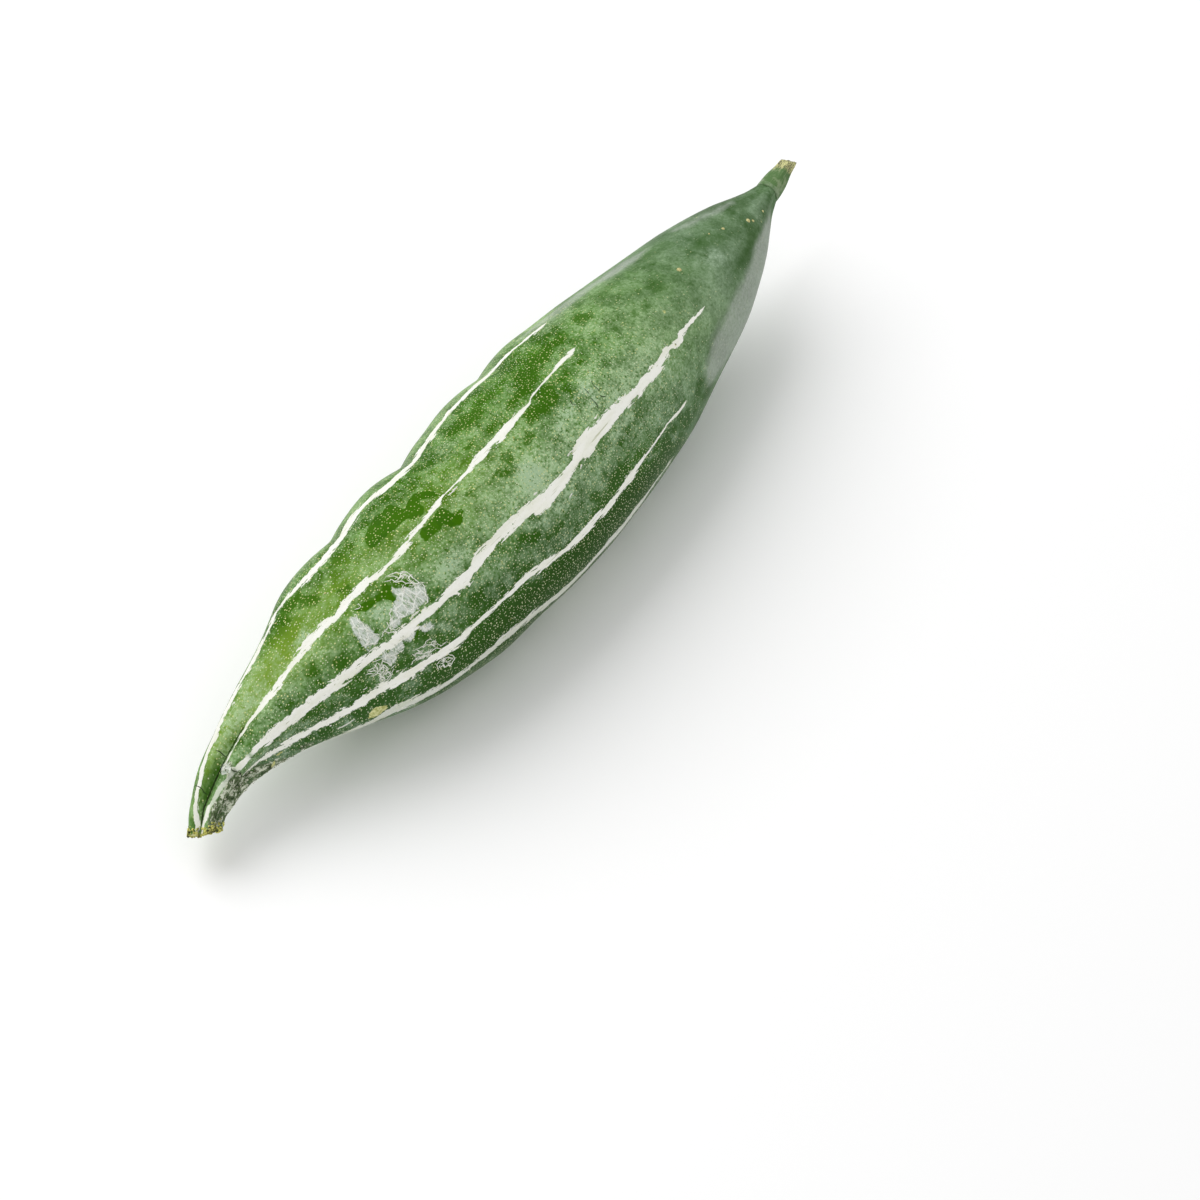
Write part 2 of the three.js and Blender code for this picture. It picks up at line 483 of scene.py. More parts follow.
def new_object(name: str, points: np.ndarray, faces: list) -> bpy.types.Object:
    """Makes an object from points in metres and faces, and links it to the scene."""
    mesh = bpy.data.meshes.new(name)
    mesh.from_pydata(points.tolist(), [], faces)
    mesh.polygons.foreach_set("use_smooth", [True] * len(mesh.polygons))
    made = bpy.data.objects.new(name, mesh)
    bpy.context.scene.collection.objects.link(made)
    return made


def keep_attribute(mesh: bpy.types.Mesh, name: str, values: np.ndarray) -> None:
    """Stores a number or a vector for each point of a mesh."""
    kind, key = ("FLOAT_VECTOR", "vector") if values.ndim == 2 else ("FLOAT", "value")
    mesh.attributes.new(name, kind, "POINT").data.foreach_set(key, values.astype(np.float32).ravel())


def grid_faces(rows: int, sides: int) -> list[tuple[int, ...]]:
    """Returns the faces of a tube of rings, closed by a pole before its first ring and after its last.

    Args:
        rows: how many rings there are.
        sides: how many points a ring has.

    Returns:
        The faces, which point outwards. Point 0 is the first pole, and the last point is the other.
    """
    turned = [(column, (column + 1) % sides) for column in range(sides)]
    pole = rows * sides + 1
    faces = [(0, 1 + b, 1 + a) for a, b in turned]
    for row in range(rows - 1):
        here, there = 1 + row * sides, 1 + (row + 1) * sides
        faces += [(here + a, here + b, there + b, there + a) for a, b in turned]
    last = 1 + (rows - 1) * sides
    return faces + [(pole, last + a, last + b) for a, b in turned]


# The fruit's form


@dataclass
class FruitForm:
    """Where the fruit's skin lies, by the same sizes as its solid."""

    length: float = 266
    radius: float = 29.5
    stub_length: float = 12
    ribs: int = 5
    first_rib: float = 54
    furrow_width: float = 15
    rib_rounding: float = 0.35
    tip_slant: float = 2
    tip_long_side: float = 126
    scar_depth: float = 0.9
    sway: Curve = Curve(
        ((0, 2.6), (0.08, 0.7), (0.2, -1.8), (0.39, -4.2), (0.55, -6.3), (0.7, -5),
         (0.8, -1.6), (0.88, 1.9), (0.94, 2.7), (0.98, 0.4), (1, -2.4))
    )
    height: Curve = Curve(
        ((0, 33), (0.15, 31), (0.35, 29.2), (0.5, 28.7), (0.65, 28.4), (0.77, 27.2),
         (0.86, 23.5), (0.93, 18.5), (1, 11))
    )
    fullness: Curve = Curve(
        ((0, 0.12), (0.026, 0.195), (0.08, 0.405), (0.148, 0.6), (0.2, 0.7), (0.267, 0.815),
         (0.328, 0.91), (0.388, 0.965), (0.44, 0.99), (0.496, 1), (0.552, 0.985), (0.6, 0.955),
         (0.66, 0.935), (0.723, 0.87), (0.771, 0.77), (0.841, 0.54), (0.878, 0.425), (0.92, 0.31),
         (0.96, 0.22), (1, 0.15))
    )
    furrow_depth: Curve = Curve(
        ((0, 0.14), (0.06, 0.06), (0.2, 0.025), (0.5, 0.015), (0.7, 0.035),
         (0.82, 0.1), (0.9, 0.22), (0.96, 0.36), (1, 0.4))
    )
    twist: Curve = Curve(
        ((0, 0), (0.8, 0), (0.88, -3), (0.92, -8), (0.95, -9), (0.97, -3), (0.985, 4), (1, 9))
    )
    swellings: tuple[Patch, ...] = (
        Patch(0.65, 150, 0.035, 36, 0.9), Patch(0.592, 146, 0.022, 30, -1.3),
        Patch(0.5, 148, 0.035, 38, 0.9), Patch(0.445, 150, 0.018, 30, -0.7),
        Patch(0.395, 150, 0.03, 36, 0.8), Patch(0.715, 148, 0.02, 28, -0.9),
        Patch(0.79, 148, 0.04, 34, 1.8), Patch(0.63, 102, 0.035, 15, -0.8),
        Patch(0.62, 72, 0.05, 16, 0.9), Patch(0.42, 66, 0.045, 20, 0.8),
        Patch(0.78, 76, 0.04, 16, 0.5), Patch(0.6, 34, 0.05, 14, 0.7),
        Patch(0.48, 22, 0.03, 20, -0.6), Patch(0.3, 100, 0.05, 26, 0.7),
        Patch(0.24, 8, 0.04, 24, -0.6), Patch(0.36, 216, 0.05, 28, 0.8),
        Patch(0.54, 232, 0.04, 24, -0.7), Patch(0.68, 204, 0.04, 26, 0.9),
        Patch(0.78, 236, 0.035, 24, 0.5), Patch(0.3, 318, 0.05, 26, 0.6),
        Patch(0.64, 322, 0.045, 24, 0.7),
    )
    middle: np.ndarray = field(default_factory=lambda: np.zeros(3))

    def settle(self) -> None:
        """Brings the form over the fruit's solid, whose place the frame gives."""
        along, around = np.meshgrid(np.linspace(0, 1, 200), np.arange(0, 360, 3.0), indexing="ij")
        points = self.surface(along, around).reshape(-1, 3)
        low, high = (np.array(corner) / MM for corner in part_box("fruit"))
        self.middle = (low + high - points.min(0) - points.max(0)) / 2
        self.middle[2] = 0

    def line(self, along: np.ndarray | float) -> np.ndarray:
        """Returns points on the line through the fruit's middle, in millimetres."""
        share = np.asarray(along, float)
        x = (self.length - self.stub_length) / 2 - self.length * share
        return np.stack([x, self.sway.at(share), self.height.at(share)], -1) + self.middle

    def frame(self, along: np.ndarray | float) -> tuple[np.ndarray, np.ndarray, np.ndarray]:
        """Returns the line's direction, and the two across it: level, and up from it."""
        step = 1e-4
        share = np.asarray(along, float)
        tangent = self.line(np.minimum(share + step, 1)) - self.line(np.maximum(share - step, 0))
        tangent /= np.linalg.norm(tangent, axis=-1, keepdims=True)
        side = np.cross([0, 0, 1.0], tangent)
        side /= np.linalg.norm(side, axis=-1, keepdims=True)
        return tangent, side, np.cross(tangent, side)

    def outward(self, along: np.ndarray, around: np.ndarray) -> np.ndarray:
        """Returns the directions straight out from the line."""
        _, side, up = self.frame(along)
        turn = np.radians(around)[..., None]
        return np.cos(turn) * side + np.sin(turn) * up

    def bare_radius(self, along: np.ndarray, around: np.ndarray) -> np.ndarray:
        """Returns the skin's distance from the line, with its swellings and before its furrows."""
        return self.radius * self.fullness.at(along) + soft_sum(self.swellings, along, around)

    def furrow(self, along: np.ndarray) -> np.ndarray:
        """Returns the depth of the furrows, in millimetres."""
        return self.radius * self.fullness.at(along) * self.furrow_depth.at(along)

    def rib(self, along: np.ndarray, around: np.ndarray) -> np.ndarray:
        """Returns 1 on a rib's crest and 0 at the bottom of the furrow beside it."""
        pitch = 360 / self.ribs
        off = np.mod(around - self.twist.at(along) - self.first_rib, pitch) - pitch / 2
        narrow = 1 - np.exp(-((off / self.furrow_width) ** 2))
        rounded = (1 - np.cos(np.radians(self.ribs * off))) / 2
        return (1 - self.rib_rounding) * narrow + self.rib_rounding * rounded

    def slant(self, along: np.ndarray, around: np.ndarray) -> np.ndarray:
        """Returns how far the slanted tip pushes the skin along the line, in millimetres."""
        share = np.clip((along - 0.95) / 0.05, 0, 1)
        return self.tip_slant * share**2 * (3 - 2 * share) * np.cos(np.radians(around - self.tip_long_side))

    def surface(self, along: np.ndarray, around: np.ndarray, above: float = 0, ribbed: bool = True):
        """Returns points on the skin, in millimetres.

        Args:
            along: the places along the fruit.
            around: the places around it, in degrees.
            above: how far above the skin the points are, in millimetres.
            ribbed: whether the furrows are cut.

        Returns:
            The points.
        """
        tangent = self.frame(along)[0]
        reach = self.bare_radius(along, around) + above
        if ribbed:
            reach = reach - self.furrow(along) * (1 - self.rib(along, around))
        points = self.line(along) + reach[..., None] * self.outward(along, around)
        points += self.slant(along, around)[..., None] * tangent
        points[..., 2] = np.maximum(points[..., 2], 0)
        return points

    def normal(self, along: float, around: float) -> np.ndarray:
        """Returns the direction straight out of the skin at one place."""
        step = 0.002
        places = np.array([along - step, along + step, along, along])
        turns = np.array([around, around, around - 1.0, around + 1.0])
        before, after, left, right = self.surface(places, turns)
        across = np.cross(after - before, right - left)
        out = self.outward(np.array(along), np.array(around))
        across *= np.sign(across @ out)
        return across / np.linalg.norm(across)


# The finishes


@dataclass(frozen=True)
class SkinFinish:
    """Waxy green skin with ragged white stripes, pale dots, rubbed patches, torn film and cork."""

    deep_green: Colour = (0.034, 0.116, 0.003)
    rubbed_green: Colour = (0.042, 0.136, 0.002)
    body_green: Colour = (0.070, 0.200, 0.012)
    # shaded_green is painted shade: the dark green that the lower side, the neck and parts of the beak are pulled
    # towards.
    shaded_green: Colour = (0.018, 0.064, 0.003)
    cool_green: Colour = (0.046, 0.112, 0.034)
    young_green: Colour = (0.18, 0.31, 0.03)
    wax: Colour = (0.43, 0.60, 0.32)
    cool_wax: Colour = (0.41, 0.54, 0.41)
    # Painted sheen: the pale grey-pink laid in bands along the limbs of the neck and the beak.
    painted_sheen: Colour = (0.50, 0.53, 0.49)
    dot: Colour = (0.70, 0.75, 0.50)
    yellow_dot: Colour = (0.58, 0.62, 0.18)
    stripe: Colour = (0.97, 0.97, 0.90)
    stripe_shade: Colour = (0.88, 0.89, 0.77)
    stripe_scratch: Colour = (0.34, 0.38, 0.17)
    film: Colour = (0.64, 0.68, 0.63)
    film_shade: Colour = (0.30, 0.40, 0.26)
    film_crease: Colour = (0.90, 0.91, 0.86)
    cork: Colour = (0.030, 0.042, 0.020)
    mid_cork: Colour = (0.12, 0.16, 0.08)
    pale_cork: Colour = (0.70, 0.73, 0.59)
    # Dark cracks in the dry scar, and the painted shade along the bottom of the furrows.
    crack_and_furrow_shade: Colour = (0.012, 0.020, 0.006)
    scar: Colour = (0.60, 0.59, 0.18)
    pale_scar: Colour = (0.70, 0.70, 0.36)
    dot_cell: float = 0.82
    usual_wax: float = 0.20

    def make(self) -> bpy.types.Material:
        """Returns the skin's material."""
        p = Paint("gourd_skin")
        place = p.attribute_vector("skin_place")
        drawn_out = p.vector("MULTIPLY", place, (0.2, 1, 1))
        large = p.noise(place, 30, 2)
        middle = p.noise(place, 8, 4, 0.65)
        broken = p.noise(place, 3, 6, 0.7)
        fine = p.noise(place, 0.8, 3, 0.65)

        # Green under the wax
        green = p.blend(p.step(p.total(middle, p.swing(fine, 0.3)), 0.40, 0.62), self.deep_green, self.body_green)
        young = p.total(p.attribute("young"), p.swing(middle, 0.5))
        green = p.blend(p.step(young, 0.05, 0.95), green, self.young_green)
        bare = p.step(p.total(p.attribute("bare"), p.swing(broken, 12.0), p.swing(middle, 4.0), p.swing(fine, 1.5)), -0.8, 0.8)
        body = p.remap(p.attribute("dots"), 0.05, 0.6, 0.0, 1.0)
        bare = p.times(bare, p.remap(body, 0.0, 1.0, 0.5, 1.0))
        green = p.blend(p.times(bare, 0.8), green, self.deep_green)
        cool = p.attribute("cool")
        green = p.blend(p.times(cool, 0.7), green, self.cool_green)
        # Painted shade: the lower side, the neck's sides and top and parts of the beak are darkened towards
        # shaded_green.
        green = p.blend(p.attribute("shaded"), green, self.shaded_green)

        # Wax in clouds with a fine grain, gone from some blots and thick on others
        haze = p.step(p.total(p.attribute("haze"), p.swing(broken, 9.0), p.swing(middle, 4.0)), -2.6, 3.2)
        clouds = p.total(p.swing(large, 0.4), p.swing(middle, 0.9), p.swing(broken, 0.7))
        clouds = p.times(clouds, p.remap(body, 0.0, 1.0, 0.6, 1.3))
        amount = p.total(p.attribute("wax"), self.usual_wax, clouds)
        amount = p.times(amount, p.rest(p.times(bare, 0.85)))
        amount = p.total(amount, p.times(haze, 0.37))
        rubbed = p.step(p.total(p.attribute("rubbed"), p.swing(broken, 3.2), p.swing(fine, 1.0)), -0.1, 0.2)
        grain = p.total(1.0, p.times(p.swing(fine, 4.8), p.remap(body, 0.0, 1.0, 0.4, 1.0)))
        amount = p.total(p.times(amount, 1.16), -0.06)
        amount = p.times(amount, grain, p.rest(rubbed))
        wax = p.math("MINIMUM", p.math("MAXIMUM", amount, 0.0), 0.85)
        patch = p.blend(p.step(p.total(middle, p.swing(fine, 0.5)), 0.40, 0.56), self.deep_green, self.rubbed_green)
        colour = p.blend(rubbed, green, patch)
        colour = p.blend(wax, colour, p.blend(p.math("MAXIMUM", cool, p.times(haze, 0.5)), self.wax, self.cool_wax))
        # Painted sheen: pale grey-pink bands along the limbs of the neck and the beak, where the skin turns away.
        painted_sheen = p.step(p.total(p.attribute("painted_sheen"), p.swing(p.noise(drawn_out, 2.5, 4, 0.65), 5.0)), -1.8, 3.0)
        colour = p.blend(p.times(painted_sheen, p.remap(fine, 0.3, 0.7, 0.4, 0.64)), colour, self.painted_sheen)

        # Pale dots
        spots = p.node("ShaderNodeTexVoronoi", {"Vector": p.uv("dot_place"), "Scale": 1 / self.dot_cell},
                       voronoi_dimensions="2D")
        draw = p.node("ShaderNodeSeparateColor", {0: spots.outputs["Color"]}).outputs
        size = p.remap(draw[0], 0.0, 1.0, 0.10, 0.25)
        reach = p.total(spots.outputs["Distance"], p.swing(fine, 0.16))
        spot = p.rest(p.step(p.math("SUBTRACT", reach, size), -0.07, 0.06))
        kept = p.math("SUBTRACT", p.attribute("dots"), p.times(rubbed, 0.35))
        kept = p.step(p.math("SUBTRACT", kept, draw[1]), -0.02, 0.02)
        spot = p.times(spot, kept)
        golden = p.math("MAXIMUM", p.step(draw[0], 0.66, 0.71), p.math("MAXIMUM", bare, rubbed))
        golden = p.times(golden, p.rest(p.times(cool, 0.8)), 0.7)
        dot = p.blend(golden, self.dot, self.yellow_dot)
        clear = p.times(p.remap(p.times(draw[2], draw[2]), 0.0, 1.0, 0.5, 1.4), p.remap(body, 0.0, 1.0, 0.35, 1.0))
        colour = p.blend(p.times(spot, clear), colour, dot)

        # A torn, silvery film with wrinkles across it
        wrinkles = p.noise(p.vector("MULTIPLY", place, (4, 0.8, 0.8)), 1.6, 4, 0.7)
        film_in = p.total(p.attribute("film"), p.swing(broken, 3.6), p.swing(fine, 1.0))
        film = p.times(p.step(film_in, -0.5, 0.05), p.remap(p.total(wrinkles, p.swing(fine, 0.3)), 0.3, 0.45, 0.6, 1.0))
        gaps = p.cells(p.vector("MULTIPLY", place, (1.4, 0.8, 0.8)), 2.5, "DISTANCE_TO_EDGE").outputs["Distance"]
        crease = p.rest(p.step(p.total(gaps, p.swing(fine, 0.16)), 0.02, 0.09))
        film_colour = p.blend(p.step(wrinkles, 0.36, 0.54), self.film_shade, self.film)
        film_colour = p.blend(p.times(crease, 0.85), film_colour, self.film_crease)
        colour = p.blend(p.times(film, 0.92), colour, film_colour)

        # Stripes, with torn edges drawn out along the fruit and small notches in them
        stripe = p.parts(p.uv("stripe_place"))
        half = stripe["Y"]
        ease = p.math("MINIMUM", p.math("MAXIMUM", p.times(half, 0.8), 0.32), 1.0)
        steps = p.node("ShaderNodeSeparateColor", {0: p.cells(drawn_out, 1.1).outputs["Color"]}).outputs[0]
        tears = p.total(p.swing(p.noise(drawn_out, 1.3, 5, 0.75), 4.2), p.swing(steps, 1.0), p.swing(fine, 0.8))
        edge = p.total(p.math("SUBTRACT", half, p.math("ABSOLUTE", stripe["X"])), p.times(ease, p.total(tears, -0.18)))
        white = p.times(p.step(edge, -0.05, 0.08), p.rest(p.attribute("fade")))
        worn = p.step(p.noise(drawn_out, 3, 4, 0.6), 0.3, 0.6)
        scratch = p.step(p.noise(p.vector("MULTIPLY", place, (0.07, 1.3, 1.3)), 1.0, 3, 0.6), 0.65, 0.70)
        stripe_colour = p.blend(worn, self.stripe_shade, self.stripe)
        # Painted shade: away from the cool side, on the top where the light is strongest, the stripes are dimmed to
        # 0.89 of their colour.
        stripe_colour = p.scaled(stripe_colour, p.remap(cool, 0.05, 0.35, 0.89, 1.0))
        colour = p.blend(white, colour, p.blend(p.times(scratch, 0.55), stripe_colour, self.stripe_scratch))

        # Cork on the beak's lower side, streaked lengthwise
        cork = p.step(p.total(p.attribute("cork"), p.swing(broken, 6.0)), -0.4, 0.5)
        bark = p.noise(p.vector("MULTIPLY", place, (0.45, 1, 1)), 1.6, 4, 0.7)
        bark_colour = p.blend(p.step(bark, 0.40, 0.47), self.cork, self.mid_cork)
        bark_colour = p.blend(p.step(bark, 0.515, 0.565), bark_colour, self.pale_cork)
        covered = p.times(p.math("MAXIMUM", white, film), 0.8)
        holes = p.remap(p.total(middle, p.swing(fine, 0.4)), 0.38, 0.56, 0.3, 0.95)
        colour = p.blend(p.times(cork, p.rest(covered), holes), colour, bark_colour)

        # Painted shade as a dark line along the bottom of the furrows, and the scar
        line = p.total(p.attribute("furrow_line"), p.swing(fine, 0.5))
        colour = p.blend(p.times(p.rest(p.step(line, 0.12, 0.6)), 0.93), colour, self.crack_and_furrow_shade)
        scar = p.step(p.total(p.attribute("scar"), p.swing(broken, 2.0)), 0.3, 0.5)
        crumble = p.noise(place, 1.3, 3, 0.6)
        dry = p.blend(p.step(crumble, 0.43, 0.48), self.crack_and_furrow_shade, self.scar)
        colour = p.blend(scar, colour, p.blend(p.step(crumble, 0.56, 0.6), dry, self.pale_scar))

        rough = p.total(p.remap(wax, 0.0, 0.6, 0.34, 0.55), p.times(rubbed, -0.06), p.times(film, 0.1))
        rough = p.math("MAXIMUM", rough, p.times(p.math("MAXIMUM", cork, scar), 0.85))
        height = p.total(
            p.times(spot, 0.35), p.times(fine, 0.5), p.times(film, wrinkles, 0.8), p.times(cork, bark, 1.6)
        )
        return p.finish(
            colour, rough, height, 0.12,
            Specular_IOR_Level=0.06, Specular_Tint=(0.5, 0.75, 0.25, 1.0), IOR=1.42,
        )


@dataclass(frozen=True)
class StemFinish:
    """Green stalk with lengthwise fibres, a paler foot and a dry, yellowish cut end."""

    green: Colour = (0.09, 0.18, 0.055)
    pale: Colour = (0.22, 0.30, 0.15)
    collar: Colour = (0.26, 0.34, 0.22)
    dry: Colour = (0.46, 0.46, 0.20)
    dark: Colour = (0.07, 0.065, 0.045)
    cut: Colour = (0.62, 0.61, 0.28)

    def make(self) -> bpy.types.Material:
        """Returns the stem's material."""
        p = Paint("stem_stalk")
        place = p.attribute_vector("skin_place")
        fibre = p.noise(p.vector("MULTIPLY", place, (0.15, 1, 1)), 0.6, 4, 0.65)
        cloud = p.noise(place, 2.2, 4, 0.6)
        speck = p.noise(place, 0.45, 3, 0.6)
        colour = p.blend(p.step(p.total(fibre, cloud), 0.92, 1.18), self.green, self.pale)
        collar = p.total(p.rest(p.attribute("dryness")), p.swing(cloud, 1.4))
        colour = p.blend(p.times(p.step(collar, 0.74, 1.0), 0.5), colour, self.collar)
        dry = p.total(p.attribute("dryness"), p.swing(cloud, 0.5), p.swing(fibre, 0.3))
        dry = p.step(dry, 0.66, 0.84)
        dead = p.blend(p.step(speck, 0.45, 0.55), self.dark, self.dry)
        colour = p.blend(dry, colour, p.blend(p.step(fibre, 0.45, 0.6), dead, self.cut))
        cut = p.step(p.attribute("cut_face"), 0.4, 0.6)
        colour = p.blend(cut, colour, p.blend(p.step(speck, 0.35, 0.6), self.dark, self.cut))
        height = p.total(p.times(fibre, 0.8), p.times(speck, 0.5))
        return p.finish(colour, p.remap(cloud, 0.3, 0.7, 0.55, 0.8), height, 0.15, Specular_IOR_Level=0.25)


@dataclass(frozen=True)
class DryFinish:
    """Dry plant matter in two colours, such as threads, flecks, crumbs, flakes and warts."""

    name: str
    dark: Colour
    light: Colour
    grain: float = 0.8
    roughness: float = 0.7

    def make(self) -> bpy.types.Material:
        """Returns the material, whose two colours come in clouds of the grain's size, in millimetres."""
        p = Paint(self.name)
        place = p.node("ShaderNodeTexCoord").outputs["Object"]
        cloud = p.noise(place, self.grain, 4, 0.65)
        colour = p.blend(p.step(cloud, 0.40, 0.60), self.dark, self.light)
        rough = p.remap(cloud, 0.3, 0.7, self.roughness - 0.1, self.roughness + 0.1)
        return p.finish(colour, rough, cloud, 0.05, Specular_IOR_Level=0.2)


# The pieces


@dataclass
class Stripes:
    """The ten white stripes of the fruit."""

    seen: tuple[Stripe, ...] = (
        Stripe((
            (0.362, 123.5, 123), (0.37, 125, 121.5), (0.385, 125.5, 122), (0.4, 125.5, 123.3),
            (0.412, 128, 125), (0.425, 131, 127), (0.44, 133, 129), (0.455, 132, 127),
            (0.465, 131, 125.3), (0.48, 130.5, 126), (0.5, 130.5, 126.5), (0.52, 133, 129),
            (0.54, 133, 128.5), (0.555, 132.5, 126.5), (0.562, 132, 125), (0.575, 133.5, 127),
            (0.59, 132.5, 126), (0.6, 131, 124.5), (0.62, 126.5, 121.5), (0.64, 125.5, 120.8),
            (0.655, 127.5, 122), (0.67, 131, 124.5), (0.685, 134, 126), (0.7, 134, 124),
            (0.715, 130, 122.5), (0.73, 126, 120), (0.75, 124.5, 118.5), (0.765, 124.5, 118),
            (0.78, 126.5, 120), (0.795, 130, 125), (0.81, 134, 128), (0.83, 134, 127),
            (0.85, 133, 124.5), (0.87, 132, 121.5), (0.89, 131, 118.5), (0.91, 130, 116),
            (0.93, 129, 114.5), (0.95, 127.5, 113), (0.965, 125.5, 110), (0.98, 121.5, 105.5),
            (0.99, 116, 102),
        )),
        Stripe((
            (0.388, 91.5, 91), (0.395, 92.5, 90.3), (0.41, 92.9, 90.2), (0.43, 92.4, 90.4),
            (0.45, 92, 90.4), (0.468, 92, 90.2), (0.476, 91.2, 90.2), (0.482, 89.8, 88.3),
            (0.495, 91, 88.1), (0.51, 91, 88), (0.52, 91.2, 87.3), (0.53, 92.4, 87),
            (0.55, 92.7, 87), (0.565, 92.5, 86.5), (0.575, 91.8, 86.5), (0.583, 91, 87.3),
            (0.59, 89.6, 87.9), (0.61, 89.3, 88.1), (0.63, 89.5, 88.3), (0.638, 89.5, 86.3),
            (0.65, 88.6, 85), (0.66, 87.8, 84), (0.668, 87.6, 83.2), (0.68, 86.6, 82.8),
            (0.69, 86, 81.5), (0.705, 84.3, 80.8), (0.72, 83.3, 80), (0.732, 83, 79.3),
            (0.74, 85.5, 79.2), (0.755, 86.6, 79.2), (0.768, 87, 79.5), (0.776, 85, 78.5),
            (0.783, 82.5, 77.8), (0.79, 88, 79.8), (0.8, 89.3, 80.3), (0.81, 90, 80.6),
            (0.82, 88.8, 79.8), (0.84, 87, 78.5), (0.85, 85.8, 77.3), (0.86, 84.8, 75),
            (0.87, 84.8, 74.4), (0.88, 85, 75), (0.89, 84.8, 76), (0.898, 84.5, 76),
            (0.91, 81.5, 76), (0.92, 79.5, 74.5), (0.93, 77.8, 73), (0.9395, 75, 71.5),
        )),
        Stripe((
            (0.232, 48.8, 47.6), (0.24, 49.8, 47), (0.26, 50.2, 47), (0.272, 51.3, 47.5),
            (0.285, 51.3, 48), (0.291, 50.3, 44.8), (0.303, 50.2, 45), (0.308, 50.4, 48.3),
            (0.313, 53.5, 48.6), (0.322, 52.6, 47.6), (0.332, 51.4, 45.8), (0.345, 51.4, 44.6),
            (0.36, 51.6, 44.6), (0.372, 52, 45.6), (0.39, 52.6, 46), (0.4, 53.4, 46.2),
            (0.42, 54.5, 46.6), (0.44, 56, 46.5), (0.455, 56.4, 46), (0.475, 57, 46.2),
            (0.488, 57, 45.8), (0.497, 56, 46.6), (0.505, 52.4, 46.4), (0.52, 51, 45.6),
            (0.528, 51, 45.2), (0.538, 51.4, 43.3), (0.55, 51.8, 42.6), (0.565, 53, 42.8),
            (0.573, 53.6, 43.2), (0.58, 53.8, 46.2), (0.6, 54.4, 47.8), (0.62, 53.8, 47),
            (0.64, 53, 46.3), (0.655, 51.5, 45.4), (0.667, 50, 43.8), (0.675, 49.4, 41.4),
            (0.685, 49, 41.2), (0.7, 48, 42.3), (0.72, 47.6, 41.4), (0.74, 47.2, 41),
            (0.76, 47, 40.2), (0.78, 47, 39.4), (0.8, 46.6, 38.4), (0.82, 46.2, 36.8),
            (0.84, 46.4, 34.8), (0.855, 46.6, 33.2), (0.87, 47, 31.8), (0.88, 47.6, 31),
            (0.89, 48, 30.6), (0.9, 47.4, 32.6), (0.91, 48.2, 35), (0.918, 49, 37.6),
            (0.926, 50, 39), (0.935, 54.5, 41), (0.945, 58, 45.5), (0.955, 63, 51),
            (0.965, 68, 57), (0.975, 73, 62), (0.985, 84, 70), (0.993, 96, 82),
        )),
        Stripe((
            (0.327, 16.8, 16.2), (0.335, 17.5, 15.4), (0.35, 18, 16), (0.362, 19, 17),
            (0.372, 20, 17.4), (0.38, 19, 16.8), (0.4, 19, 16.4), (0.42, 18.8, 15.5),
            (0.44, 18.3, 14.4), (0.455, 17.6, 13), (0.47, 16.8, 12.6), (0.485, 16, 12.4),
            (0.5, 17, 12.6), (0.52, 17.4, 13), (0.54, 17, 13), (0.56, 17.2, 13.2),
            (0.575, 18.5, 14), (0.59, 20.5, 15), (0.605, 21.8, 15.8), (0.62, 22.6, 17),
            (0.64, 21.6, 17.5), (0.66, 20.8, 17.5), (0.675, 20, 17), (0.69, 19.3, 15.4),
            (0.7, 19.2, 14), (0.72, 19, 12.2), (0.74, 18.6, 11), (0.76, 18.2, 10.4),
            (0.78, 17.8, 9.6), (0.8, 16.4, 8.4), (0.82, 14.2, 6.6), (0.84, 12, 4.6),
            (0.86, 10.6, 2.6), (0.875, 10, 1), (0.89, 10, 0.8), (0.9, 10.5, 1.5),
            (0.915, 12.5, 3), (0.94, 16, 6), (0.96, 18, 10), (0.975, 20, 14),
        )),
        Stripe((
            (0.366, -10, -11), (0.378, -9, -13), (0.39, -10.4, -12), (0.4, -8.4, -12),
            (0.415, -9.2, -13.6), (0.43, -9.4, -15), (0.45, -9.4, -17), (0.48, -9.4, -17),
            (0.5, -8.6, -16), (0.52, -9.4, -16.4), (0.54, -10, -17.6), (0.56, -11.4, -19.4),
            (0.58, -11.4, -19.4), (0.6, -9.4, -16.6), (0.62, -6, -13), (0.64, -4.4, -11),
            (0.66, -4, -10), (0.68, -5.4, -12), (0.7, -8, -14), (0.72, -9.4, -15.6),
            (0.74, -9, -17), (0.76, -6.6, -18), (0.78, -7, -19), (0.795, -9, -22),
            (0.81, -14, -27), (0.83, -19, -31), (0.85, -21, -33), (0.87, -21, -33),
            (0.9, -20, -32), (0.93, -19, -30), (0.96, -18, -28), (0.98, -17, -25),
        )),
    )
    hidden_middles: tuple[float, ...] = (-47, -83, -120, -158, 163)
    hidden_width: float = 8
    first_seed: int = 11

    def every(self) -> list[Stripe]:
        """Returns all the stripes, the drawn ones first."""
        starts = (0.3, 0.36, 0.27, 0.4, 0.33)
        hidden = [
            wandering_stripe(middle, self.hidden_width, start, self.first_seed + number)
            for number, (middle, start) in enumerate(zip(self.hidden_middles, starts))
        ]
        return [*self.seen, *hidden]

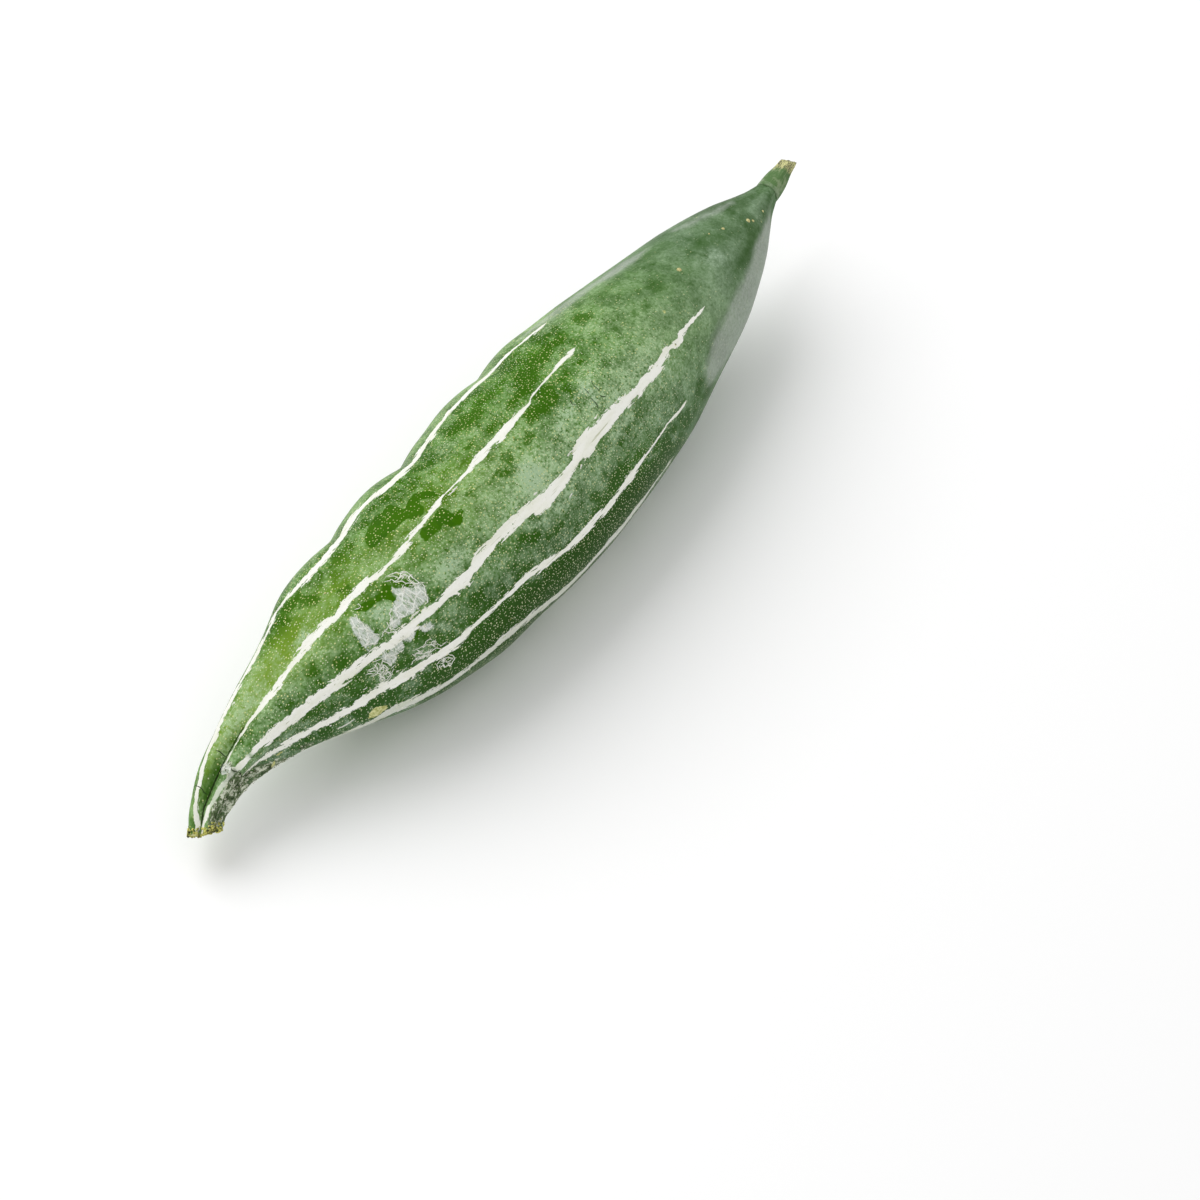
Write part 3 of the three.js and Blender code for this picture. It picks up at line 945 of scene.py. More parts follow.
    def nearest(self, along: np.ndarray, around: np.ndarray, corners: np.ndarray, radius: np.ndarray):
        """Works out where each face's corners lie beside the stripe that is nearest to the face.

        Args:
            along: for each point of the mesh.
            around: for each point of the mesh, in degrees.
            corners: the four points of each face.
            radius: the skin's distance from the line, for each point, in millimetres.

        Returns:
            For each corner, the distance from the stripe's middle and half the stripe's width, in
            millimetres.
        """
        arc = np.radians(radius)
        offsets, halves = [], []
        for stripe in self.every():
            offset, half = stripe.offset_and_half(along, around)
            offsets.append(offset * arc)
            halves.append(half * arc)
        offsets, halves = np.array(offsets), np.array(halves)
        inside = (halves - np.abs(offsets))[:, corners].mean(2)
        best = inside.argmax(0)
        faces = np.arange(len(corners))
        middle_side = np.sign(offsets[:, corners].mean(2)[best, faces])
        offset = offsets[best[:, None], corners]
        wrapped = np.abs(offset) > 60 * arc[corners]
        offset = np.where(wrapped, np.abs(offset) * middle_side[:, None], offset)
        return offset, halves[best[:, None], corners]


@dataclass
class Marks:
    """Every mark of the skin besides its stripes."""

    rubbed: tuple[Blot, ...] = (
        Blot(((0.7137, 105.8), (0.7087, 107.8), (0.7013, 110), (0.6944, 111.2), (0.6875, 111.8),
            (0.68, 111.5), (0.6737, 110.8), (0.6675, 110.8), (0.6638, 108.5), (0.6631, 105), (0.6631, 102),
            (0.6588, 101.2), (0.6531, 103.2), (0.6469, 104), (0.6406, 104.2), (0.6356, 102.2),
            (0.6312, 101.2), (0.6281, 98.5), (0.6281, 93.8), (0.6306, 91.2), (0.6344, 92.2), (0.64, 96.2),
            (0.6444, 98.5), (0.6475, 95.5), (0.6488, 91), (0.6544, 89), (0.6625, 90.2), (0.6681, 91.2),
            (0.67, 94.2), (0.6769, 95.2), (0.6837, 95.5), (0.6887, 95.2), (0.6937, 95.8), (0.6994, 96.8),
            (0.7063, 97), (0.7106, 97.5), (0.7163, 97.5), (0.7169, 100.5))),
        Blot(((0.6419, 84.2), (0.6388, 81.5), (0.6388, 78.8), (0.64, 76), (0.6356, 76.2), (0.6319, 75.8),
            (0.6275, 75.8), (0.6312, 72.8), (0.6369, 70.8), (0.6419, 69.5), (0.6469, 69.8), (0.6512, 71.2),
            (0.6544, 74), (0.6538, 75.8), (0.6606, 75.2), (0.6656, 74.8), (0.6725, 75.2), (0.6781, 75.2),
            (0.6813, 75.5), (0.6787, 78.5), (0.6769, 81.5), (0.6719, 83.5), (0.6663, 82.5), (0.6594, 83),
            (0.6525, 83.2), (0.6462, 84.2))),
        Blot(((0.7375, 76), (0.7338, 74.5), (0.7325, 71), (0.7344, 67.8), (0.7381, 65.8), (0.7381, 61.8),
            (0.7412, 61), (0.7431, 64.8), (0.7469, 67.2), (0.7525, 68.2), (0.76, 68.8), (0.7656, 69.5),
            (0.77, 71.8), (0.7706, 75), (0.7656, 75.2), (0.7606, 74.2), (0.7544, 73), (0.7481, 71.5),
            (0.7419, 72.8))),
        Blot(((0.7444, 41.5), (0.74, 38.5), (0.7388, 34.8), (0.7438, 35), (0.7469, 38.2))),
    )
    film: tuple[Blot, ...] = (
        Blot(((0.7338, 69), (0.73, 65), (0.7244, 65), (0.7219, 61), (0.7144, 59.2), (0.7125, 56.5),
            (0.715, 53.5), (0.7175, 50.5), (0.7206, 50.8), (0.725, 50.8), (0.7288, 49.8), (0.735, 50),
            (0.7394, 51), (0.7431, 50.5), (0.7475, 51.5), (0.7494, 54), (0.7488, 57.5), (0.7456, 59.8),
            (0.7412, 60.2), (0.7369, 60.8), (0.7331, 62), (0.7344, 65.2))),
        Blot(((0.7544, 55.2), (0.75, 53.5), (0.7462, 50.8), (0.7469, 49), (0.7512, 49), (0.7562, 50.2),
            (0.7575, 53.2))),
        Blot(((0.7744, 73.5), (0.7731, 69.5), (0.7725, 65.5), (0.7712, 59), (0.7706, 53.5), (0.7688, 49.5),
            (0.7725, 49), (0.7756, 48.8), (0.7781, 51.8), (0.7806, 54), (0.7812, 50.5), (0.7831, 48),
            (0.7844, 52.2), (0.7844, 56.8), (0.7831, 61), (0.7812, 65.5), (0.7788, 70))),
        Blot(((0.7519, 43), (0.7469, 42), (0.7444, 40), (0.7456, 36.8), (0.7506, 36.2), (0.7531, 38.2),
            (0.7544, 41.2))),
        Blot(((0.765, 41.8), (0.76, 42), (0.7562, 40.8), (0.7556, 36.5), (0.7606, 35), (0.765, 36.5),
            (0.7669, 40))),
        Blot(((0.735, 38.8), (0.7281, 38.5), (0.7244, 35.8), (0.7313, 35.5), (0.735, 35.8))),
        Blot(((0.7775, 39.2), (0.7725, 39), (0.7675, 35.5), (0.7675, 31), (0.7725, 29.2), (0.7738, 33.8),
            (0.7762, 36.2))),
        Blot(((0.941, 80), (0.94, 70), (0.9415, 60), (0.945, 57), (0.9475, 64), (0.9485, 72), (0.946, 80))),
    )
    bare: tuple[Blot, ...] = (
        Blot(((0.4612, 89.2), (0.4519, 88.5), (0.4519, 84.8), (0.4575, 80.2), (0.465, 77.8), (0.475, 77.5),
            (0.4838, 76.2), (0.49, 78), (0.4969, 78.5), (0.5044, 80.5), (0.5031, 84), (0.4969, 87.5),
            (0.4888, 87.8), (0.4825, 86.8), (0.4769, 85.8), (0.4731, 89.5))),
        Blot(((0.3738, 102.8), (0.3869, 98.8), (0.3981, 100.8), (0.41, 99.8), (0.4231, 99), (0.4338, 98.8),
            (0.4456, 97), (0.4575, 95), (0.4694, 93.5), (0.4788, 94), (0.485, 95.5), (0.4944, 94.8),
            (0.5, 96), (0.4938, 98.8), (0.4844, 98.2), (0.4719, 99), (0.4625, 101.5), (0.4606, 106.8),
            (0.4487, 107.8), (0.4394, 106.5), (0.4281, 110), (0.42, 108.2), (0.4094, 108), (0.3969, 107.2),
            (0.385, 104.8))),
        Blot(((0.4206, 85.8), (0.4231, 82.2), (0.4319, 80.8), (0.4406, 82.2), (0.4413, 85.8), (0.4344, 85.5))),
        Blot(((0.4106, 84.5), (0.4, 84.8), (0.3944, 83.5), (0.4019, 82.2), (0.4094, 82.2))),
        Blot(((0.4844, 114), (0.4856, 109), (0.495, 110), (0.5019, 111), (0.5106, 111.2), (0.5144, 107.2),
            (0.5219, 104.5), (0.5294, 107.2), (0.5363, 108.8), (0.5456, 108.5), (0.5531, 110),
            (0.5606, 112), (0.5606, 116.5), (0.5519, 117.8), (0.5431, 116.8), (0.5306, 117.2),
            (0.5238, 114.8), (0.5162, 113.2), (0.5075, 115), (0.4969, 114))),
        Blot(((0.5175, 79.5), (0.5112, 75.5), (0.5175, 74.5), (0.5269, 74.2), (0.5344, 74), (0.5344, 77),
            (0.5269, 78))),
        Blot(((0.56, 101), (0.5537, 99.2), (0.5625, 97.2), (0.5706, 98), (0.5706, 100.8))),
        Blot(((0.555, 80), (0.5475, 79.2), (0.5494, 75.2), (0.5563, 71), (0.5656, 69.8), (0.5744, 70.8),
            (0.5787, 73), (0.5863, 71.8), (0.5919, 75.2), (0.5887, 78.2), (0.5806, 76.2), (0.57, 75.5),
            (0.5606, 75.2))),
        Blot(((0.5288, 98.2), (0.5181, 97.2), (0.525, 93.5), (0.5344, 94.8), (0.5425, 95), (0.5363, 98))),
        Blot(((0.6013, 79.5), (0.5994, 77), (0.605, 75.8), (0.6131, 75.5), (0.6162, 77.5), (0.6106, 79.2))),
        Blot(((0.2481, 91), (0.2425, 88.2), (0.2412, 83.8), (0.2469, 80), (0.2456, 76.2), (0.2556, 77.2),
            (0.2644, 77.2), (0.2687, 80.2), (0.2631, 85), (0.2644, 89.2), (0.2575, 90.5))),
        Blot(((0.2819, 83), (0.2769, 81), (0.2812, 77), (0.2913, 75.8), (0.2963, 77.5), (0.2925, 81.2))),
        Blot(((0.305, 84), (0.2988, 81.2), (0.3063, 79.2), (0.3125, 80.5))),
        Blot(((0.3488, 109), (0.3369, 107.8), (0.3375, 103.2), (0.3294, 100.8), (0.34, 98), (0.3481, 100.5),
            (0.3544, 101), (0.3544, 105.2))),
        Blot(((0.2731, 93.5), (0.2669, 90.5), (0.2725, 88.2), (0.2775, 90.2))),
        Blot(((0.2162, 115.2), (0.1969, 116.2), (0.1775, 114.8), (0.1713, 104.8), (0.1762, 99),
            (0.1888, 102.8), (0.2038, 107.5), (0.2188, 109.2), (0.225, 112.5))),
        Blot(((0.1575, 91), (0.1381, 86.5), (0.1275, 75.5), (0.1275, 68), (0.1462, 73.8), (0.1663, 81.5),
            (0.1694, 86.2))),
        Blot(((0.0519, 95.2), (0.0469, 86.2), (0.0544, 77), (0.065, 79.2), (0.0625, 89.2))),
        Blot(((0.0844, 56.5), (0.0806, 43.8), (0.0925, 37), (0.11, 36.2), (0.1288, 36.8), (0.1469, 39),
            (0.1638, 41.8), (0.1613, 46), (0.1388, 46.2), (0.1144, 46.8), (0.0969, 53.8))),
        Blot(((0.455, 18.2), (0.4425, 15), (0.4363, 10.8), (0.4394, 4), (0.4425, -1.8), (0.4581, 2),
            (0.4706, 7.2), (0.4713, 12), (0.46, 12), (0.4519, 13.2))),
        Blot(((0.4581, 29), (0.4531, 24), (0.4525, 20.2), (0.4644, 21.2), (0.475, 21.5), (0.4819, 19.8),
            (0.4838, 23.5), (0.4738, 26), (0.465, 26.2))),
        Blot(((0.5094, 29.5), (0.5025, 25.8), (0.5019, 22.8), (0.5088, 23.8), (0.5119, 27.2))),
        Blot(((0.4838, 9.8), (0.4694, 6.8), (0.4763, 4), (0.4919, 5.8), (0.4994, 6.2), (0.5, 10.2))),
        Blot(((0.5269, 14.5), (0.5125, 10.5), (0.5094, 3.8), (0.5169, 0), (0.5294, 2.5), (0.5406, 2),
            (0.555, 3.8), (0.5637, 9.2), (0.5525, 10), (0.54, 11.5), (0.5312, 13))),
        Blot(((0.5787, 35.8), (0.5694, 33.8), (0.5575, 33.2), (0.5569, 29.8), (0.5687, 28.8), (0.58, 29.5),
            (0.5813, 32.8))),
        Blot(((0.6013, 44.2), (0.5919, 41.2), (0.5887, 37.2), (0.5994, 38), (0.6081, 41))),
        Blot(((0.5837, 12), (0.5725, 9.8), (0.5687, 2.5), (0.5775, 1.2), (0.5875, 3.8), (0.5925, 10))),
        Blot(((0.6238, 13.5), (0.6106, 10.2), (0.5988, 3), (0.5956, -4.5), (0.6106, -3.2), (0.6244, 1.5),
            (0.6381, 3.8), (0.6538, 5), (0.6562, 10.2), (0.6438, 11), (0.63, 10.5))),
        Blot(((0.6837, 32), (0.6769, 31), (0.6763, 27), (0.6825, 26), (0.6863, 29.2))),
        Blot(((0.6181, 27.2), (0.6069, 24.8), (0.6119, 21.5), (0.6212, 24.2))),
        Blot(((0.8019, 123.2), (0.7931, 123.8), (0.7875, 119.8), (0.7856, 114.8), (0.7825, 109.2),
            (0.7794, 103.8), (0.7838, 102.5), (0.7888, 105), (0.7919, 111), (0.7975, 113.2),
            (0.8037, 115.8), (0.8069, 121), (0.8081, 126))),
        Blot(((0.8137, 127.5), (0.8087, 119.8), (0.8094, 111.5), (0.8163, 112.8), (0.8206, 117.2),
            (0.8187, 124.5))),
        Blot(((0.7625, 94.8), (0.7544, 91.2), (0.7575, 86.2), (0.7638, 88.2), (0.765, 92.2))),
        Blot(((0.8119, 55.5), (0.8019, 54.8), (0.7969, 52.8), (0.8025, 49.5), (0.8113, 48.2), (0.8156, 52.2))),
        Blot(((0.8344, 67.2), (0.825, 67.5), (0.8231, 61), (0.8313, 59), (0.8375, 62.5))),
        Blot(((0.71, 56.5), (0.7113, 53), (0.7137, 48.5), (0.7163, 51.2), (0.7144, 55.2))),
        Blot(((0.7525, 48), (0.7462, 49.5), (0.7438, 48.8), (0.7469, 46.8), (0.7512, 46.8))),
        Blot(((0.7725, 25.5), (0.7644, 28.5), (0.7556, 26.2), (0.7556, 21.8), (0.7644, 21.8), (0.7712, 20.8))),
        Blot(((0.7388, 37.8), (0.7319, 34.2), (0.7294, 29.8), (0.7369, 30.8), (0.7406, 34))),
        Blot(((0.965, 105.5), (0.9537, 97.2), (0.9413, 92.8), (0.9406, 75.8), (0.9531, 77), (0.9644, 81.2),
            (0.9744, 85.8), (0.9763, 102.5), (0.97, 107.2))),
    )
    haze: tuple[Blot, ...] = (
        Blot(((0.4319, 74.2), (0.4194, 72), (0.4225, 64.5), (0.4294, 60), (0.4444, 57.8), (0.4469, 62.8),
            (0.4413, 68), (0.45, 69.5), (0.4612, 67.5), (0.4731, 65.8), (0.485, 65.2), (0.4931, 63.8),
            (0.4913, 68.5), (0.4763, 71.8), (0.4619, 72.5), (0.4463, 72.8))),
        Blot(((0.5531, 70.2), (0.5438, 69.5), (0.5388, 64.5), (0.535, 59), (0.5369, 54.5), (0.5519, 51),
            (0.5637, 52.8), (0.5681, 58.5), (0.5656, 64.8))),
        Blot(((0.455, 42.8), (0.4456, 45.8), (0.43, 46), (0.4113, 44.8), (0.4125, 41), (0.4294, 40.2),
            (0.4406, 38), (0.4519, 39.5))),
        Blot(((0.4406, 57.8), (0.4238, 58.2), (0.4069, 57), (0.4012, 53.5), (0.415, 54), (0.43, 55.2),
            (0.4444, 54.8))),
        Blot(((0.6944, 56.5), (0.6825, 60.2), (0.6713, 62.2), (0.6625, 60.8), (0.6562, 56.5),
            (0.6656, 52.2), (0.6769, 50.2), (0.6875, 50.2), (0.6944, 51.8))),
        Blot(((0.5988, 45.8), (0.5813, 42.8), (0.5663, 40.2), (0.5506, 40.2), (0.5406, 39.2),
            (0.5487, 37.5), (0.5613, 36.2), (0.5719, 34), (0.5844, 38.2), (0.5956, 41.5))),
        Blot(((0.76, 67), (0.75, 65.8), (0.7462, 61.5), (0.7506, 57), (0.7562, 54.8), (0.7644, 55),
            (0.7675, 60.2), (0.7662, 66.2))),
        Blot(((0.8169, 93.5), (0.8125, 95), (0.8081, 93.8), (0.8081, 90.2), (0.8119, 90))),
        Blot(((0.1663, 73.5), (0.1562, 69.2), (0.1594, 62.2), (0.1719, 60), (0.1819, 64.2), (0.1781, 70))),
        Blot(((0.7113, 25.2), (0.7194, 28), (0.7288, 31), (0.7231, 34.2), (0.7125, 33.5))),
    )
    cork: tuple[Blot, ...] = (
        Blot(((0.9419, 80.2), (0.9369, 66), (0.94, 22), (0.932, 12), (0.921, 1), (0.908, -6),
            (0.893, -14), (0.886, -22), (0.887, -34), (0.893, -48), (0.91, -58), (0.94, -62), (0.97, -60),
            (1.01, -56), (1.01, -10.5), (1.01, 50.8), (1.01, 72), (0.9931, 72), (0.9825, 67.5),
            (0.9719, 61), (0.96, 53.8), (0.9506, 55), (0.9475, 72))),
        Blot(((0.862, -14), (0.868, -17), (0.878, -15), (0.885, -9), (0.88, -6), (0.87, -10))),
    )
    # Painted sheen: the outlines of pale bands along the limbs of the neck and the beak, and two on the hidden side.
    painted_sheen: tuple[Blot, ...] = (
        Blot(((0.0225, 12), (0.0525, 29), (0.0731, 36), (0.0925, 37), (0.1138, 36.5), (0.1325, 33),
            (0.158, 31), (0.1787, 31), (0.2, 31), (0.2244, 29), (0.2538, 24), (0.275, 17), (0.285, 8),
            (0.27, -4), (0.24, -11), (0.2, -15), (0.14, -17), (0.08, -13), (0.04, -4))),
        Blot(((0.19, 121), (0.2244, 115), (0.2544, 115.5), (0.2762, 119),
            (0.3, 120), (0.335, 121), (0.37, 124), (0.40, 129), (0.38, 133), (0.33, 132), (0.28, 131),
            (0.22, 129))),
        Blot(((0.06, 111), (0.093, 112), (0.128, 118), (0.15, 121), (0.153, 113), (0.128, 108), (0.093, 100),
            (0.06, 102))),
        Blot(((0.83, 140), (0.8944, 137.5), (0.9156, 136), (0.9375, 134.5), (0.9519, 134), (0.9681, 133),
            (0.98, 140), (0.965, 152), (0.93, 157), (0.88, 155), (0.84, 150))),
        Blot(((0.05, -153), (0.12, -149), (0.22, -152), (0.3, -157), (0.34, -163), (0.27, -166), (0.18, -164),
            (0.1, -163))),
        Blot(((0.06, -76), (0.14, -80), (0.24, -75), (0.33, -69), (0.25, -65), (0.14, -66))),
    )
    # The first patch, at around 117, is a painted sheen band along the upper limb; the others vary the wax.
    wax: tuple[Patch, ...] = (
        Patch(0.36, 117, 0.09, 5, 0.25), Patch(0.945, 66, 0.012, 9, 0.1), Patch(0.43, 35, 0.07, 12, 0.12),
        Patch(0.91, 104, 0.03, 14, 0.3), Patch(0.9, 96, 0.02, 6, 0.2), Patch(0.16, 59, 0.03, 8, 0.12),
        Patch(0.5, 140, 0.2, 9, 0.12), Patch(0.36, 200, 0.06, 14, 0.3), Patch(0.6, 226, 0.05, 12, 0.3),
        Patch(0.5, 300, 0.05, 14, 0.25), Patch(0.515, 42, 0.03, 8, 0.3), Patch(0.5, 30, 0.08, 10, 0.16),
        Patch(0.655, 28, 0.03, 8, 0.25), Patch(0.86, 72, 0.05, 22, 0.3), Patch(0.55, 72, 0.05, 20, 0.1), Patch(0.305, 82, 0.04, 22, 0.18), Patch(0.36, 54, 0.06, 12, 0.2), Patch(0.55, 50, 0.022, 8, 0.26), Patch(0.55, 20, 0.025, 7, 0.2), Patch(0.585, 26, 0.03, 12, 0.2),
        Patch(0.585, 112, 0.025, 7, 0.3), Patch(0.61, 78, 0.05, 9, 0.24), Patch(0.48, 80, 0.04, 8, 0.1), Patch(0.3, 26, 0.05, 9, 0.14),
        Patch(0.78, 112, 0.02, 8, 0.2), Patch(0.655, 108, 0.02, 9, 0.1), Patch(0.22, 42, 0.05, 14, 0.24), Patch(0.18, 103, 0.05, 12, 0.12), Patch(0.04, 66, 0.03, 16, 0.26), Patch(0.03, 112, 0.03, 10, 0.15), Patch(0.9, 22, 0.02, 8, 0.2),
        Patch(0.5, 60, 0.18, 8.5, 0.26), Patch(0.68, 58, 0.06, 8, 0.15),
    )
    # Patches where the wax is thinner; those on the lower side, near around -6, 2 and 18, are painted shade.
    worn: tuple[Patch, ...] = (
        Patch(0.57, -6, 0.2, 20, 0.6), Patch(0.64, 24, 0.16, 12, 0.12), Patch(0.8, 98, 0.05, 14, 0.1),
        Patch(0.46, 114, 0.1, 10, 0.14), Patch(0.47, 88, 0.07, 9, 0.12), Patch(0.72, 106, 0.06, 12, 0.1),
        Patch(0.04, 130, 0.05, 22, 0.2), Patch(0.92, 60, 0.025, 12, 0.15), Patch(0.45, 18, 0.05, 14, 0.2), Patch(0.5, 2, 0.14, 10, 0.15),
        Patch(0.86, 28, 0.06, 12, 0.1),
    )
    young: tuple[Patch, ...] = (
        Patch(0.67, 88, 0.15, 30, 0.26), Patch(0.78, 97, 0.08, 20, 0.3), Patch(0.87, 98, 0.06, 24, 0.85), Patch(0.935, 108, 0.03, 14, 0.6),
        Patch(0.82, 68, 0.05, 12, 0.25), Patch(0.98, 118, 0.02, 16, 0.3), Patch(0.6, 80, 0.12, 30, 0.24),
    )
    # Painted shade, with some darker green: the places that are pulled towards shaded_green.
    shaded: tuple[Patch, ...] = (
        Patch(0.1, 60, 0.16, 60, 0.6), Patch(0.07, 150, 0.12, 24, 0.6), Patch(0.58, -8, 0.2, 24, 1.1),
        Patch(0.62, 28, 0.16, 12, 0.3), Patch(0.9, 16, 0.07, 16, 0.5), Patch(0.05, 135, 0.08, 30, 0.5), Patch(0.92, 60, 0.03, 13, 0.2),
        Patch(0.5, 2, 0.14, 10, 0.5),
    )
    hidden_bare: int = 26
    hidden_haze: int = 9

    def fields(self, form: FruitForm, along: np.ndarray, around: np.ndarray) -> dict[str, np.ndarray]:
        """Returns what the finish reads, by name.

        Args:
            form: the fruit that the marks are on.
            along: the places along the fruit.
            around: the places around it, in degrees.

        Returns:
            Depths in millimetres for the marks with outlines, and shares of 1 for the others.
        """
        bare = self.bare + scattered_blots(self.hidden_bare, 4.2, 23)
        haze = self.haze + scattered_blots(self.hidden_haze, 6.0, 31)
        dots = np.interp(along, (0, 0.2, 0.3, 0.42, 0.9, 0.97), (0.02, 0.07, 0.3, 0.8, 0.75, 0.3))
        ends = Patch(0.95, 41.5, 0.04, 20)
        fade = np.clip((along - 0.93) / 0.04, 0, 0.42) * (ends.distance(along, around) < 1.6)
        for gap in (0.921, 0.9425):
            fade = np.maximum(fade, 0.8 * np.exp(-(((along - gap) / 0.0022) ** 2)) * (np.abs(around - 45) < 16))
        # Painted shade: the stripe on the lower side, near around -16, is faded towards the green.
        fade = np.maximum(fade, 0.3 * (np.abs(turn_between(around, -16)) < 16) * (along < 0.86))
        # The cool side is the lower side near around -15 and the neck: the green and the wax are greyer there, and the
        # stripes keep their full white.
        side = np.exp(-((turn_between(around, -15) / 58) ** 2))
        cool = np.maximum(side, np.interp(along, (0.16, 0.34), (0.8, 0.0)))
        return {
            "rubbed": deepest(self.rubbed, form, along, around),
            "film": deepest(self.film, form, along, around),
            "bare": deepest(bare, form, along, around),
            "haze": deepest(haze, form, along, around),
            "cork": deepest(self.cork, form, along, around),
            "painted_sheen": deepest(self.painted_sheen, form, along, around),
            "cool": cool,
            "wax": soft_sum(self.wax, along, around) - soft_sum(self.worn, along, around),
            "young": soft_sum(self.young, along, around) + 0.1 * (0.5 - 0.5 * np.sin(np.radians(around))) ** 2,
            "shaded": np.clip(soft_sum(self.shaded, along, around), 0, 0.9),
            "dots": dots,
            "fade": fade,
        }


@dataclass
class Skin:
    """The fruit's skin: rings round the fruit's line, grown ribs and relief, and all its marks."""

    form: FruitForm
    finish: SkinFinish = field(default_factory=SkinFinish)
    stripes: Stripes = field(default_factory=Stripes)
    marks: Marks = field(default_factory=Marks)
    sides: int = 240
    rings: int = 380
    scar_rings: int = 12
    lump_size: float = 21
    lump_height: float = 0.35
    grain_size: float = 5
    grain_height: float = 0.07
    cork_height: float = 0.3

    def rows(self) -> tuple[np.ndarray, np.ndarray, np.ndarray]:
        """Returns where each ring is, how much of the radius it keeps, and how far it is sunk into the tip."""
        body = np.linspace(0, 1, self.rings)
        share = np.linspace(0, 1, self.scar_rings + 1)[1:-1]
        keep = np.interp(share, (0, 0.3, 0.6, 1), (1, 0.82, 0.45, 0))
        sunk = np.interp(share, (0, 0.3, 0.6, 1), (0, -0.3, 0.6, 1)) * self.form.scar_depth
        neck = np.array([0.4, 0.8])
        along = np.concatenate([np.zeros(2), body, np.ones(len(share))])
        keeps = np.concatenate([neck, np.ones(self.rings), keep])
        sinks = np.concatenate([np.zeros(2 + self.rings), sunk])
        return along, keeps, sinks

    def seedling(self) -> bpy.types.Object:
        """Makes the skin before its ribs, with what its growth and its finish read stored on its points."""
        form = self.form
        rows, keeps, sinks = self.rows()
        turns = np.arange(self.sides) * 360 / self.sides
        along, around = np.meshgrid(rows, turns, indexing="ij")
        keep, sink = keeps[:, None], sinks[:, None]
        tangent = form.frame(along)[0]
        out = form.outward(along, around)
        reach = keep * form.bare_radius(along, around)
        push = keep * form.slant(along, around) - sink
        points = form.line(along) + reach[..., None] * out + push[..., None] * tangent
        flat = points.reshape(-1, 3)
        poles = form.line(np.array([0.0, 1.0]))
        poles[1] -= form.scar_depth * form.frame(1.0)[0]
        everything = np.concatenate([poles[:1], flat, poles[1:]]) * MM
        faces = grid_faces(len(rows), self.sides)
        skin = new_object("gourd_skin", everything, faces)

        def each(values: np.ndarray, first: float = 0.0, last: float = 0.0) -> np.ndarray:
            """Adds the two poles to a value for each ring point."""
            return np.concatenate([[first], np.broadcast_to(values, along.shape).ravel(), [last]])

        mesh = skin.data
        turned = form.radius * form.fullness.at(along) * keep
        straight = np.stack([
            along * form.length + sink, turned * np.cos(np.radians(around)), turned * np.sin(np.radians(around))
        ], -1).reshape(-1, 3)
        ends = np.array([[0, 0, 0], [form.length, 0, 0]], float)
        keep_attribute(mesh, "skin_place", np.concatenate([ends[:1], straight, ends[1:]]) * MM)
        keep_attribute(mesh, "outward", np.concatenate([[[0, 0, 0]], out.reshape(-1, 3), [[0, 0, 0]]]))
        keep_attribute(mesh, "rib_place", each(around - form.twist.at(along)))
        keep_attribute(mesh, "furrow_depth", each(form.furrow(along) * keep * MM))
        fields = self.marks.fields(form, along, around)
        fields["furrow_line"] = self.furrow_line(along, around)
        rim = 0.52 * np.clip((along - 0.9915) / 0.006, 0, 1)
        fields["scar"] = np.maximum(np.clip((0.97 - keep) / 0.1, 0, 1) * (along > 0.99), rim)
        for name, values in fields.items():
            keep_attribute(mesh, name, each(values, 0.0, 1.0 if name == "scar" else 0.0))
        self.store_places(mesh, along, around, each)
        return skin

    def furrow_line(self, along: np.ndarray, around: np.ndarray) -> np.ndarray:
        """Returns how far each place is from the bottom of its furrow, in millimetres, and 3 where it is shallow."""
        form = self.form
        pitch = 360 / form.ribs
        off = np.mod(around - form.twist.at(along) - form.first_rib, pitch) - pitch / 2
        gap = np.abs(np.radians(off)) * form.radius * form.fullness.at(along)
        deep = np.interp(along, (0.89, 0.905, 0.99, 1), (0, 1, 1, 0.6))
        gap = gap * np.interp(along, (0.938, 0.955), (1.8, 1.0))
        side = np.where(np.abs(turn_between(around, 84)) < 34, 1.0, 0.75)
        return gap + 3 * (1 - deep * side)

    def store_places(self, mesh: bpy.types.Mesh, along: np.ndarray, around: np.ndarray, each) -> None:
        """Stores two UV maps, in millimetres: each corner's place beside its stripe, and its place for dots."""
        corners = np.empty(len(mesh.loops), dtype=np.int32)
        mesh.loops.foreach_get("vertex_index", corners)
        starts = np.empty(len(mesh.polygons), dtype=np.int32)
        totals = np.empty(len(mesh.polygons), dtype=np.int32)
        mesh.polygons.foreach_get("loop_start", starts)
        mesh.polygons.foreach_get("loop_total", totals)
        quads = starts[:, None] + np.minimum(np.arange(4)[None, :], totals[:, None] - 1)
        radius = self.form.radius * self.form.fullness.at(along)
        points = corners[quads]
        places, turns, radii = each(along, 0.0, 1.0), each(around), each(radius, 3.0, 4.0)
        offset, half = self.stripes.nearest(places, turns, points, radii)
        turn = turn_between(turns, 90.0)[points]
        turn = turn[:, :1] + turn_between(turn, turn[:, :1])
        maps = {
            "stripe_place": (offset, half),
            "dot_place": (places[points] * self.form.length, np.radians(turn) * radii[points]),
        }
        for name, (across, up) in maps.items():
            place = np.zeros((len(corners), 2), dtype=np.float32)
            place[quads.ravel(), 0] = across.ravel()
            place[quads.ravel(), 1] = up.ravel()
            mesh.uv_layers.new(name=name).data.foreach_set("uv", place.ravel())

